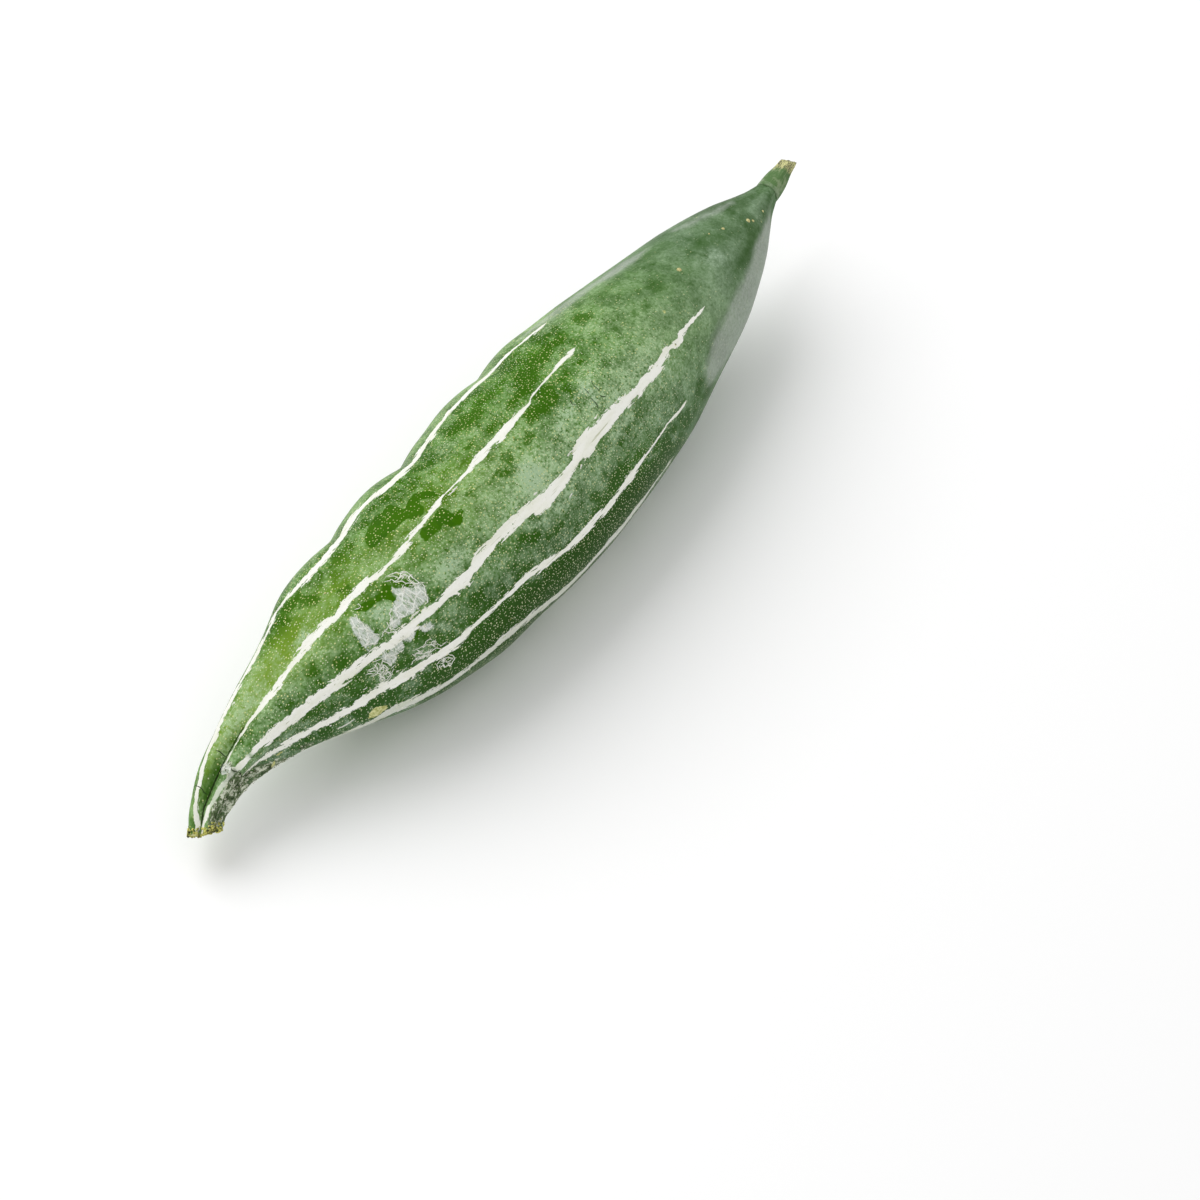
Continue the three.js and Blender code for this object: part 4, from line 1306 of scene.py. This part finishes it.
    def growth(self, finish: bpy.types.Material) -> GrowthTree:
        """Draws the tree that grows the ribs and the fine relief on the skin, and lays it on the surface."""
        form = self.form
        g = GrowthTree("ribs_and_relief", {
            "Rib Count": float(form.ribs),
            "First Rib": float(form.first_rib),
            "Furrow Width": float(form.furrow_width),
            "Rib Rounding": form.rib_rounding,
            "Lump Height": self.lump_height * MM,
            "Grain Height": self.grain_height * MM,
            "Cork Height": self.cork_height * MM,
            "Finish": finish,
        })
        pitch = g.math("DIVIDE", 360.0, g.given["Rib Count"])
        turn = g.math("SUBTRACT", g.named("rib_place"), g.given["First Rib"])
        off = g.math("SUBTRACT", g.math("FLOORED_MODULO", turn, pitch), g.math("DIVIDE", pitch, 2.0))
        share = g.math("DIVIDE", off, g.given["Furrow Width"])
        narrow = g.rest(g.math("EXPONENT", g.times(share, share, -1.0)))
        wave = g.math("COSINE", g.math("RADIANS", g.times(off, g.given["Rib Count"])))
        rounded = g.math("DIVIDE", g.rest(wave), 2.0)
        lean = g.given["Rib Rounding"]
        rib = g.total(g.times(g.rest(lean), narrow), g.times(lean, rounded))
        cut = g.times(g.math("SUBTRACT", rib, 1.0), g.named("furrow_depth"))

        place = g.named("skin_place", "FLOAT_VECTOR")
        bark = g.noise(g.vector("MULTIPLY", place, (0.6, 1.0, 1.0)), 2.2, 4, 0.7)
        relief = g.total(
            g.times(g.swing(g.noise(place, self.lump_size, 2), 1.0), g.given["Lump Height"]),
            g.times(g.swing(g.noise(place, self.grain_size, 4, 0.6), 1.0), g.given["Grain Height"]),
            g.times(g.swing(bark, 2.0), g.step(g.named("cork"), -0.3, 0.5), g.given["Cork Height"]),
            cut,
        )
        grown = g.shift(g.given["Geometry"], g.scaled(g.named("outward", "FLOAT_VECTOR"), relief))
        spot = g.node("ShaderNodeSeparateXYZ", {0: g.node("GeometryNodeInputPosition").outputs[0]})
        level = g.math("MAXIMUM", spot.outputs["Z"], 0.0)
        flat = g.node("ShaderNodeCombineXYZ", {0: spot.outputs["X"], 1: spot.outputs["Y"], 2: level})
        laid = g.node("GeometryNodeSetPosition", {"Geometry": grown, "Position": flat.outputs[0]})
        g.end(laid.outputs[0])
        return g

    def build(self) -> bpy.types.Object:
        """Returns the finished skin, in place of the fruit's solid."""
        skin = self.seedling()
        self.growth(self.finish.make()).grow(skin)
        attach(skin, "root")
        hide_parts("fruit")
        return skin


@dataclass
class Trails:
    """Thin raised lines that follow the skin, such as threads of torn film, white flecks and cracks."""

    form: FruitForm
    skin: bpy.types.Object
    name: str
    finish: DryFinish
    lines: tuple[Places, ...]
    width: float
    lift: float
    wander: float
    seed: int
    spacing: float = 0.5
    sides: int = 6

    def seedling(self) -> bpy.types.Object:
        """Makes the bare lines, as edges a little above the skin."""
        points, edges, outward = [], [], []
        for drawn in self.lines:
            along, around = np.array(drawn, float).T
            arc = math.radians(self.form.radius * float(self.form.fullness.at(along.mean())))
            gaps = np.hypot(np.diff(along) * self.form.length, np.diff(around) * arc)
            reach = np.concatenate([[0], gaps.cumsum()])
            stops = np.linspace(0, reach[-1], max(4, int(reach[-1] / self.spacing)))
            places, turns = np.interp(stops, reach, along), np.interp(stops, reach, around)
            first = len(points)
            points += list(self.form.surface(places, turns, 0.1) * MM)
            outward += list(self.form.outward(places, turns))
            edges += [(first + i, first + i + 1) for i in range(len(stops) - 1)]
        made = new_object(self.name, np.array(points), [])
        made.data.clear_geometry()
        made.data.from_pydata([tuple(point) for point in points], edges, [])
        keep_attribute(made.data, "outward", np.array(outward))
        return made

    def growth(self) -> GrowthTree:
        """Draws the tree that lays the lines on the skin and gives them their thickness."""
        g = GrowthTree(f"{self.name}_lines", {
            "Skin": self.skin,
            "Width": self.width * MM,
            "Lift": self.lift * MM,
            "Wander": self.wander * MM,
            "Sides": self.sides,
            "Finish": self.finish.make(),
        })
        curve = g.node("GeometryNodeMeshToCurve", {"Mesh": g.given["Geometry"]}).outputs[0]
        curve = g.node("GeometryNodeResampleCurve", {"Curve": curve, "Length": 0.35 * MM}, mode="LENGTH").outputs[0]
        here = g.node("GeometryNodeInputPosition").outputs[0]
        seeded = g.vector("ADD", here, (0.1 * self.seed, 0.0, 0.0))
        curve = g.shift(curve, g.scaled(g.noise_vector(seeded, 1.6), g.given["Wander"]))
        near = g.node("GeometryNodeProximity", {0: g.mesh_of("Skin")}, target_element="FACES").outputs["Position"]
        curve = g.node("GeometryNodeSetPosition", {"Geometry": curve, "Position": near}).outputs[0]
        curve = g.shift(curve, g.scaled(g.named("outward", "FLOAT_VECTOR"), g.given["Lift"]))
        share = g.node("GeometryNodeSplineParameter").outputs["Factor"]
        taper = g.rest(g.math("POWER", g.math("ABSOLUTE", g.swing(share, 2.0)), 4.0))
        uneven = g.remap(g.noise(seeded, 1.2, 3, 0.7), 0.3, 0.7, 0.35, 1.0)
        thickness = g.times(g.total(taper, 0.15), uneven, g.given["Width"], 0.5)
        ring = g.node("GeometryNodeCurvePrimitiveCircle", {"Resolution": g.given["Sides"], "Radius": 1.0}).outputs[0]
        inputs = {"Curve": curve, "Profile Curve": ring, "Scale": thickness, "Fill Caps": True}
        g.end(g.node("GeometryNodeCurveToMesh", inputs).outputs[0])
        return g

    def build(self) -> bpy.types.Object:
        """Returns the finished lines."""
        lines = self.growth().grow(self.seedling())
        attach(lines, "root")
        return lines


@dataclass
class Crumbs:
    """Small flakes strewn over one kind of place on the skin."""

    skin: bpy.types.Object
    name: str
    finish: DryFinish
    where: str
    above: float
    density: float
    size: tuple[float, float]
    flatness: float
    seed: int

    def build(self) -> bpy.types.Object:
        """Returns the finished flakes."""
        g = GrowthTree(f"{self.name}_scatter", {
            "Skin": self.skin,
            "Density": self.density * 1e6,
            "Smallest": self.size[0] * MM,
            "Largest": self.size[1] * MM,
            "Flatness": self.flatness,
            "Seed": self.seed,
            "Finish": self.finish.make(),
        })
        inside = g.step(g.named(self.where), self.above - 0.1, self.above + 0.4)
        inputs = {"Mesh": g.mesh_of("Skin"), "Density": g.times(inside, g.given["Density"]), "Seed": g.given["Seed"]}
        strewn = g.node("GeometryNodeDistributePointsOnFaces", inputs).outputs
        flake = g.node("GeometryNodeMeshIcoSphere", {"Radius": 1.0, "Subdivisions": 1}).outputs["Mesh"]
        reach = g.random(g.given["Smallest"], g.given["Largest"], g.given["Seed"])
        stretch = g.random(0.45, 1.0, g.math("ADD", g.given["Seed"], 1))
        scale = g.node("ShaderNodeCombineXYZ", {
            0: reach, 1: g.times(reach, stretch), 2: g.times(reach, g.given["Flatness"])
        }).outputs[0]
        spin = g.node("ShaderNodeCombineXYZ", {
            0: g.random(-0.5, 0.5, g.math("ADD", g.given["Seed"], 2)),
            1: g.random(-0.5, 0.5, g.math("ADD", g.given["Seed"], 3)),
            2: g.random(0.0, 6.3, g.math("ADD", g.given["Seed"], 4)),
        }).outputs[0]
        spin = g.node("FunctionNodeEulerToRotation", {0: spin}).outputs[0]
        turned = g.node("FunctionNodeRotateRotation", {"Rotation": strewn["Rotation"], "Rotate By": spin},
                        rotation_space="LOCAL").outputs[0]
        placed = g.node("GeometryNodeInstanceOnPoints", {
            "Points": strewn["Points"], "Instance": flake, "Rotation": turned, "Scale": scale
        }).outputs[0]
        g.end(placed)
        flakes = g.grow(new_object(self.name, np.zeros((1, 3)), []))
        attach(flakes, "root")
        return flakes


@dataclass
class Warts:
    """Small round warts and scabs, each at its own place on the skin."""

    form: FruitForm
    skin: bpy.types.Object
    name: str
    finish: DryFinish
    spots: tuple[tuple[float, float, float], ...]
    flatness: float = 0.45

    def build(self) -> bpy.types.Object:
        """Returns the finished warts, whose spots are rows of (along, around, radius)."""
        along, around, size = np.array(self.spots, float).T
        seedling = new_object(self.name, self.form.surface(along, around) * MM, [])
        keep_attribute(seedling.data, "outward", self.form.outward(along, around))
        keep_attribute(seedling.data, "size", size * MM)
        g = GrowthTree(f"{self.name}_spots", {
            "Skin": self.skin, "Flatness": self.flatness, "Finish": self.finish.make()
        })
        near = g.node("GeometryNodeProximity", {0: g.mesh_of("Skin")}, target_element="FACES").outputs["Position"]
        spots = g.node("GeometryNodeSetPosition", {"Geometry": g.given["Geometry"], "Position": near}).outputs[0]
        upright = g.node("FunctionNodeAlignRotationToVector", {"Vector": g.named("outward", "FLOAT_VECTOR")},
                         axis="Z").outputs[0]
        reach = g.named("size")
        scale = g.node("ShaderNodeCombineXYZ", {0: reach, 1: reach, 2: g.times(reach, g.given["Flatness"])})
        dome = g.node("GeometryNodeMeshIcoSphere", {"Radius": 1.0, "Subdivisions": 2}).outputs["Mesh"]
        placed = g.node("GeometryNodeInstanceOnPoints", {
            "Points": spots, "Instance": dome, "Rotation": upright, "Scale": scale.outputs[0]
        }).outputs[0]
        g.end(placed)
        warts = g.grow(seedling)
        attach(warts, "root")
        return warts


@dataclass
class Scab:
    """A flat, raised scab with an outline of its own."""

    form: FruitForm
    name: str
    finish: DryFinish
    outline: Places
    height: float = 0.35
    rings: int = 8
    steps: int = 6

    def build(self) -> bpy.types.Object:
        """Returns the finished scab, which sinks into the skin at its rim."""
        drawn = np.array(self.outline, float)
        share = np.linspace(0, 1, self.steps, endpoint=False)[:, None]
        rim = np.concatenate([a + (b - a) * share for a, b in zip(drawn, np.roll(drawn, -1, 0))])
        middle = rim.mean(0)
        rng = np.random.default_rng(3)
        keep = np.linspace(0, 1, self.rings + 1)[1:]
        places = middle + keep[:, None, None] * (rim - middle)
        above = self.height * (1 - keep[:, None] ** 3) - 0.3 * keep[:, None] ** 3
        above = above + rng.uniform(-0.07, 0.07, places.shape[:2]) * (keep[:, None] < 0.95)
        form = self.form
        base = form.surface(places[..., 0], places[..., 1])
        points = base + above[..., None] * form.outward(places[..., 0], places[..., 1])
        top = form.surface(middle[:1], middle[1:]) + self.height * form.outward(middle[:1], middle[1:])
        low = form.surface(middle[:1], middle[1:]) - 1.2 * form.outward(middle[:1], middle[1:])
        everything = np.concatenate([top, points.reshape(-1, 3), low]) * MM
        made = new_object(self.name, everything, grid_faces(self.rings, len(rim)))
        mesh = made.data
        normal = np.array(mesh.polygons[0].normal)
        if normal @ form.outward(middle[:1], middle[1:])[0] < 0:
            mesh.flip_normals()
        mesh.materials.append(self.finish.make())
        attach(made, "root")
        return made


@dataclass
class SkinDetails:
    """Everything small that stands on the skin."""

    form: FruitForm
    skin: bpy.types.Object
    thread: DryFinish = DryFinish("torn_threads", (0.62, 0.64, 0.54), (0.86, 0.87, 0.80))
    fleck: DryFinish = DryFinish("white_flecks", (0.66, 0.68, 0.58), (0.78, 0.78, 0.72))
    crack: DryFinish = DryFinish("dark_cracks", (0.010, 0.018, 0.006), (0.03, 0.045, 0.018))
    crumb: DryFinish = DryFinish("tip_crumbs", (0.03, 0.035, 0.012), (0.66, 0.65, 0.16), 0.9)
    bark: DryFinish = DryFinish("cork_flakes", (0.10, 0.12, 0.06), (0.62, 0.64, 0.50), 1.0)
    shred: DryFinish = DryFinish("film_flakes", (0.60, 0.62, 0.52), (0.82, 0.82, 0.76), 1.0)
    wart: DryFinish = DryFinish("yellow_warts", (0.42, 0.38, 0.16), (0.66, 0.62, 0.30), 0.6)
    scab: DryFinish = DryFinish("yellow_scab", (0.42, 0.44, 0.14), (0.74, 0.74, 0.38), 0.8)
    threads: tuple[Places, ...] = (
        ((0.7331, 77.2), (0.7269, 76.5), (0.7213, 74.5), (0.7163, 71.5), (0.7137, 68.2),
            (0.7131, 63.8), (0.7137, 61), (0.7131, 57.8)),
        ((0.7344, 75.8), (0.7288, 72.8), (0.7244, 69), (0.7225, 65.5), (0.7181, 63.5), (0.7181, 60.2),
            (0.7156, 57.5)),
        ((0.7119, 61.5), (0.7119, 58.5), (0.7144, 56), (0.7156, 52.2), (0.7181, 49.2), (0.7219, 49.8)),
        ((0.7288, 76), (0.7263, 74.8), (0.7238, 71.2), (0.7188, 69.8), (0.7169, 67), (0.7169, 63.5),
            (0.7156, 59.2)),
        ((0.7706, 75.5), (0.7688, 73.5), (0.7644, 74.2), (0.7631, 76.2), (0.7656, 77.2)),
        ((0.7725, 75), (0.7731, 71), (0.7744, 68.5), (0.7738, 64.5), (0.7731, 59.2), (0.7712, 54),
            (0.7694, 49.8)),
        ((0.7575, 54.8), (0.7581, 51), (0.755, 48.5), (0.75, 48.2)),
        ((0.7462, 60.2), (0.75, 58.2), (0.7519, 55.5), (0.755, 54.8)),
        ((0.7856, 53.2), (0.7806, 52.5), (0.7794, 49.8), (0.7756, 48.8), (0.7719, 48.8)),
        ((0.7519, 29.5), (0.7475, 29), (0.7412, 28), (0.735, 25.5), (0.7275, 22.5), (0.7213, 18.5)),
        ((0.7512, 27.5), (0.7462, 23), (0.7412, 23), (0.7356, 21), (0.7306, 20.8), (0.7269, 18)),
        ((0.7488, 22.5), (0.7438, 20), (0.7388, 20), (0.735, 18.8)),
        ((0.7869, 41.5), (0.7838, 37.8), (0.7788, 37.5), (0.7762, 32.5), (0.7731, 28.8), (0.7694, 31),
            (0.7694, 34.8)),
        ((0.79, 36), (0.7875, 30.5), (0.7812, 30.8), (0.7775, 26.5), (0.7775, 21.2), (0.7825, 19),
            (0.7844, 24.2), (0.7888, 25)),
        ((0.7944, 19.5), (0.7894, 19.8), (0.7844, 17.8), (0.7863, 25.2), (0.7863, 33.5), (0.7875, 38.2)),
        ((0.7794, 33.2), (0.7769, 28), (0.78, 25), (0.7844, 27.5)),
        ((0.73, 12), (0.725, 11.2), (0.7206, 10.8), (0.7181, 7.8), (0.7181, 4.5), (0.7238, 3),
            (0.7281, 3.5), (0.7306, 7.5), (0.7338, 10.5)),
        ((0.7338, 10.5), (0.7369, 8.8), (0.7344, 4)),
    )
    curl_clusters: tuple[tuple[float, float, float, float, int], ...] = (
        (0.781, 29, 0.007, 9, 34), (0.738, 23, 0.012, 4, 26), (0.727, 7.5, 0.006, 4, 12),
        (0.757, 50, 0.006, 3, 8), (0.7225, 68, 0.006, 6, 12), (0.765, 37, 0.01, 4, 8),
    )
    flecks: tuple[Places, ...] = (
        ((0.5363, 38), (0.5319, 38.8), (0.5281, 39)),
        ((0.735, 102.5), (0.7319, 102.5)),
        ((0.6269, 86.5), (0.6181, 86.2), (0.6088, 86.5)),
        ((0.5081, 54.5), (0.5019, 55), (0.495, 54.2)),
        ((0.5062, 44.5), (0.5, 46)),
        ((0.805, 21), (0.8025, 21.2), (0.7994, 21.5)),
        ((0.8031, 39), (0.8, 39.5), (0.7963, 39)),
        ((0.7531, 11.5), (0.7475, 11.5)),
        ((0.7725, 21.5), (0.7681, 21)),
        ((0.5656, 53.5), (0.5581, 53.2)),
        ((0.5513, 86.2), (0.5481, 86.2)),
        ((0.7412, 47.2), (0.7344, 48.2), (0.7263, 48.5)),
        ((0.7013, 19), (0.6937, 19.2)),
        ((0.8406, -6.5), (0.8325, -5.8), (0.8244, -3.8), (0.8187, -3.2)),
        ((0.845, 1.2), (0.8419, 2)),
        ((0.8812, -20.2), (0.875, -14.8)),
        ((0.57, 91.5), (0.5744, 91)),
    )
    cracks: tuple[Places, ...] = (
        ((0.4188, 71.8), (0.4231, 68.2), (0.4231, 65.8), (0.4244, 63.2)),
        ((0.4325, 72.2), (0.4338, 69.2), (0.435, 66.8)),
        ((0.4281, 64), (0.4275, 61.5), (0.4219, 59.8)),
        ((0.4544, 73), (0.4575, 70.8), (0.4537, 68.8)),
        ((0.4375, 66), (0.4381, 61.8), (0.4406, 58.5)),
        ((0.4644, 72.2), (0.47, 71.5)),
        ((0.935, 105.8), (0.9331, 97.8), (0.9344, 80.5)),
        ((0.9637, 162.5), (0.9656, 106.8), (0.9681, 100.8), (0.9681, 91.8)),
        ((0.94, 59.5), (0.9425, 52.5), (0.94, 41.2)),
        ((0.94, 41.2), (0.9419, 11.5)),
        ((0.9463, 74), (0.95, 77.8)),
        ((0.93, 6.5), (0.935, 5), (0.9381, 6.2)),
        ((0.9238, 44.5), (0.9206, 37.5), (0.9181, 33.2)),
        ((0.9575, 42.8), (0.9519, 41.5), (0.9481, 44.8)),
    )
    cork_lines: tuple[Places, ...] = (
        ((0.9019, -1.2), (0.898, -0.5), (0.8950, -1.2)), ((0.9131, -17.2), (0.91, -12), (0.9069, -7.2)),
    )
    wart_spots: tuple[tuple[float, float, float], ...] = (
        (0.213, 80.8, 0.75), (0.118, 78.8, 0.5), (0.081, 62, 0.7), (0.075, 56, 0.45), (0.046, 48, 0.4),
        (0.1375, 85.8, 0.3), (0.7738, 101, 0.3), (0.8181, 123.8, 0.3), (0.42, 250, 0.6), (0.25, 212, 0.5),
        (0.6, 280, 0.45), (0.7, 190, 0.5), (0.15, 300, 0.45),
    )
    scab_outline: Places = (
        (0.8125, -10.8), (0.8106, -3.2), (0.8056, 0.2), (0.8019, 1.2), (0.7956, -0.8), (0.7894, -3),
        (0.7894, -6.8), (0.795, -9.2), (0.8, -12.5), (0.8075, -13.2),
    )

    def curls(self) -> tuple[Places, ...]:
        """Returns short curled threads, drawn at random in clusters round the torn film."""
        rng = np.random.default_rng(17)
        degree = 0.44
        drawn = []
        for along, around, long, wide, count in self.curl_clusters:
            for _ in range(count):
                place = np.array([rng.uniform(-long, long), rng.uniform(-wide, wide)])
                heading, turn = rng.uniform(0, 6.3), rng.uniform(-1.1, 1.1)
                points = []
                for _ in range(int(rng.integers(4, 8))):
                    points.append((along + place[0], around + place[1]))
                    heading += turn + rng.uniform(-0.5, 0.5)
                    step = rng.uniform(0.35, 0.7)
                    place = place + step * np.array([math.cos(heading) / self.form.length, math.sin(heading) / degree])
                drawn.append(tuple(points))
        return tuple(drawn)

    def build(self) -> list[bpy.types.Object]:
        """Returns the finished details."""
        form, skin = self.form, self.skin
        trails = (
            ("film_threads", self.thread, self.threads + self.curls(), 0.38, -0.03, 2.0, 1),
            ("white_flecks", self.fleck, self.flecks, 0.7, -0.14, 0.7, 2),
            ("beak_cracks", self.crack, self.cracks, 0.34, -0.06, 0.6, 3),
            ("cork_lines", self.scab, self.cork_lines, 0.9, -0.1, 1.2, 4),
        )
        pieces = [Trails(form, skin, *row).build() for row in trails]
        crumbs = (
            ("tip_crumbs", self.crumb, "scar", 0.1, 4.0, (0.15, 0.6), 0.7, 5),
            ("cork_flakes", self.bark, "cork", 0.3, 1.1, (0.12, 0.42), 0.35, 6),
            ("film_flakes", self.shred, "film", 0.1, 1.2, (0.12, 0.4), 0.3, 7),
        )
        pieces += [Crumbs(skin, *row).build() for row in crumbs]
        pieces.append(Warts(form, skin, "yellow_warts", self.wart, self.wart_spots).build())
        pieces.append(Scab(form, "yellow_scab", self.scab, self.scab_outline).build())
        return pieces


@dataclass
class Stem:
    """The cut stub of stem, angled like the fruit, with a dry end."""

    form: FruitForm
    finish: StemFinish = field(default_factory=StemFinish)
    radius: float = 3.4
    foot: float = -0.35
    ridges: int = 5
    ridge_depth: float = 0.09
    cut_slant: float = 1.3
    cut_long_side: float = 250
    sides: int = 96
    rings: int = 60
    cut_rings: int = 10
    rise: Curve = Curve(((0, 0), (0.15, 0), (0.5, 0.8), (1, 3)))
    sway: Curve = Curve(((0, 0), (0.15, 0), (0.5, -0.1), (1, -0.6)))
    fullness: Curve = Curve(((0, 1.1), (0.15, 1.1), (0.45, 1.0), (0.75, 0.76), (0.93, 0.68), (1, 0.62)))

    def line(self, along: np.ndarray) -> np.ndarray:
        """Returns points on the line through the stub's middle, in millimetres."""
        tangent, side, up = self.form.frame(0.0)
        reach = self.foot + (self.form.stub_length - self.foot) * along
        back = -reach[..., None] * tangent
        return self.form.line(0.0) + back + self.rise.at(along)[..., None] * up - self.sway.at(along)[..., None] * side

    def build(self) -> bpy.types.Object:
        """Returns the finished stub, in place of its solid."""
        rng = np.random.default_rng(5)
        body = np.linspace(0, 1, self.rings)
        inner = np.linspace(1, 0, self.cut_rings + 1)[1:-1]
        along = np.concatenate([body, np.ones(len(inner))])
        keep = np.concatenate([np.ones(self.rings), inner])
        turns = np.arange(self.sides) * 360 / self.sides
        shares, around = np.meshgrid(along, turns, indexing="ij")
        step = 1e-3
        tangent = self.line(np.minimum(along + step, 1)) - self.line(np.maximum(along - step, 0))
        tangent /= np.linalg.norm(tangent, axis=-1, keepdims=True)
        side = np.cross([0, 0, 1.0], tangent)
        side /= np.linalg.norm(side, axis=-1, keepdims=True)
        up = np.cross(tangent, side)
        turn = np.radians(around)[..., None]
        out = np.cos(turn) * side[:, None] + np.sin(turn) * up[:, None]
        ridge = np.cos(np.radians(self.ridges * (around - self.form.first_rib)))
        reach = self.radius * self.fullness.at(shares) * (1 + self.ridge_depth * ridge * shares)
        fibres = rng.normal(0, 1, self.sides)
        fibres = (fibres + np.roll(fibres, 1) + np.roll(fibres, -1)) / 3
        reach = reach + 0.05 * fibres[None, :]
        slant = shares**3 * self.cut_slant * np.cos(np.radians(around - self.cut_long_side))
        ragged = rng.uniform(-0.18, 0.18, shares.shape) * (shares > 0.97)
        push = keep[:, None] * slant + ragged - 0.35 * (1 - keep[:, None] ** 2)
        points = self.line(along)[:, None] + keep[:, None, None] * reach[..., None] * out
        points = points + push[..., None] * tangent[:, None]
        ends = self.line(np.array([0.0, 1.0]))
        ends[1] -= 0.35 * tangent[-1]
        everything = np.concatenate([ends[:1], points.reshape(-1, 3), ends[1:]]) * MM
        stub = new_object("stem_stalk", everything, grid_faces(len(along), self.sides))
        straight = np.stack([
            shares * self.form.stub_length, reach * np.cos(turn[..., 0]), reach * np.sin(turn[..., 0])
        ], -1).reshape(-1, 3)
        caps = np.array([[0, 0, 0], [self.form.stub_length, 0, 0]], float)
        keep_attribute(stub.data, "skin_place", np.concatenate([caps[:1], straight, caps[1:]]) * MM)
        flat = np.concatenate([[0.0], shares.ravel(), [1.0]])
        keep_attribute(stub.data, "dryness", flat)
        inside = np.broadcast_to((0.96 - keep)[:, None] > 0, shares.shape).ravel().astype(float)
        keep_attribute(stub.data, "cut_face", np.concatenate([[0.0], inside, [1.0]]))
        stub.data.materials.append(self.finish.make())
        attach(stub, "root")
        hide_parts("stem_stub")
        return stub


# The studio


@dataclass
class Studio:
    """A pale floor, soft light and a camera that looks down on the gourd."""

    azimuth: float = -54
    elevation: float = 50
    distance: float = 0.93
    lens: float = 100
    aim: tuple[float, float] = (-7.2, -33.7)
    floor_colour: Colour = (0.96, 0.96, 0.96)
    sky: float = 0.84
    horizon: float = 0.52
    key_place: tuple[float, float, float] = (-0.05, 0.75, 1.05)
    key_size: float = 1.1
    key_power: float = 9.4

    def build(self, form: FruitForm) -> None:
        """Makes the floor, the lights and the camera."""
        self.floor()
        self.surroundings()
        target = Vector((*((np.array(self.aim) + form.middle[:2]) * MM), 0))
        self.softbox("key_light", self.key_place, Vector((0, 0, 0.03)), self.key_size, self.key_power)
        self.camera(target)

    def floor(self) -> None:
        """Makes the floor."""
        size = 4.0
        corners = np.array([(-size, -size, 0), (size, -size, 0), (size, size, 0), (-size, size, 0)])
        made = new_object("floor", corners, [(0, 1, 2, 3)])
        p = Paint("pale_floor")
        made.data.materials.append(p.finish((*self.floor_colour, 1), 0.6, Specular_IOR_Level=0.1))

    def surroundings(self) -> None:
        """Lights the scene from all round, more from above than from the sides."""
        world = bpy.data.worlds.new("studio")
        world.use_nodes = True
        sketch = Sketch(world.node_tree)
        direction = sketch.node("ShaderNodeTexCoord").outputs["Generated"]
        height = sketch.node("ShaderNodeSeparateXYZ", {0: direction}).outputs["Z"]
        strength = sketch.remap(height, 0.0, 1.0, self.horizon, self.sky)
        background = sketch.node("ShaderNodeBackground", {"Color": (1, 1, 1, 1), "Strength": strength})
        output = sketch.node("ShaderNodeOutputWorld")
        sketch.tree.links.new(background.outputs[0], output.inputs["Surface"])
        bpy.context.scene.world = world
        bpy.context.scene.view_settings.view_transform = "Standard"

    def softbox(self, name: str, place: tuple, target: Vector, size: float, power: float) -> None:
        """Makes one square light that faces the gourd."""
        data = bpy.data.lights.new(name, "AREA")
        data.size = size
        data.energy = power
        made = bpy.data.objects.new(name, data)
        made.location = place
        made.rotation_euler = (target - Vector(place)).to_track_quat("-Z", "Y").to_euler()
        bpy.context.scene.collection.objects.link(made)

    def camera(self, target: Vector) -> None:
        """Makes the camera."""
        turn, tilt = math.radians(self.azimuth), math.radians(self.elevation)
        back = Vector((math.sin(turn) * math.cos(tilt), -math.cos(turn) * math.cos(tilt), math.sin(tilt)))
        data = bpy.data.cameras.new("camera")
        data.lens = self.lens
        data.sensor_width = 36
        made = bpy.data.objects.new("camera", data)
        made.location = target + back * self.distance
        made.rotation_euler = back.to_track_quat("Z", "Y").to_euler()
        bpy.context.scene.collection.objects.link(made)
        bpy.context.scene.camera = made


def main() -> None:
    """Builds the gourd piece by piece, then the studio."""
    logging.basicConfig(level=logging.INFO)
    form = FruitForm()
    form.settle()
    skin = Skin(form).build()
    for piece in (skin, Stem(form).build(), *SkinDetails(form, skin).build()):
        log.info("%s: %d faces", piece.name, len(piece.data.polygons))
    Studio().build(form)


if __name__ == "__main__":
    main()
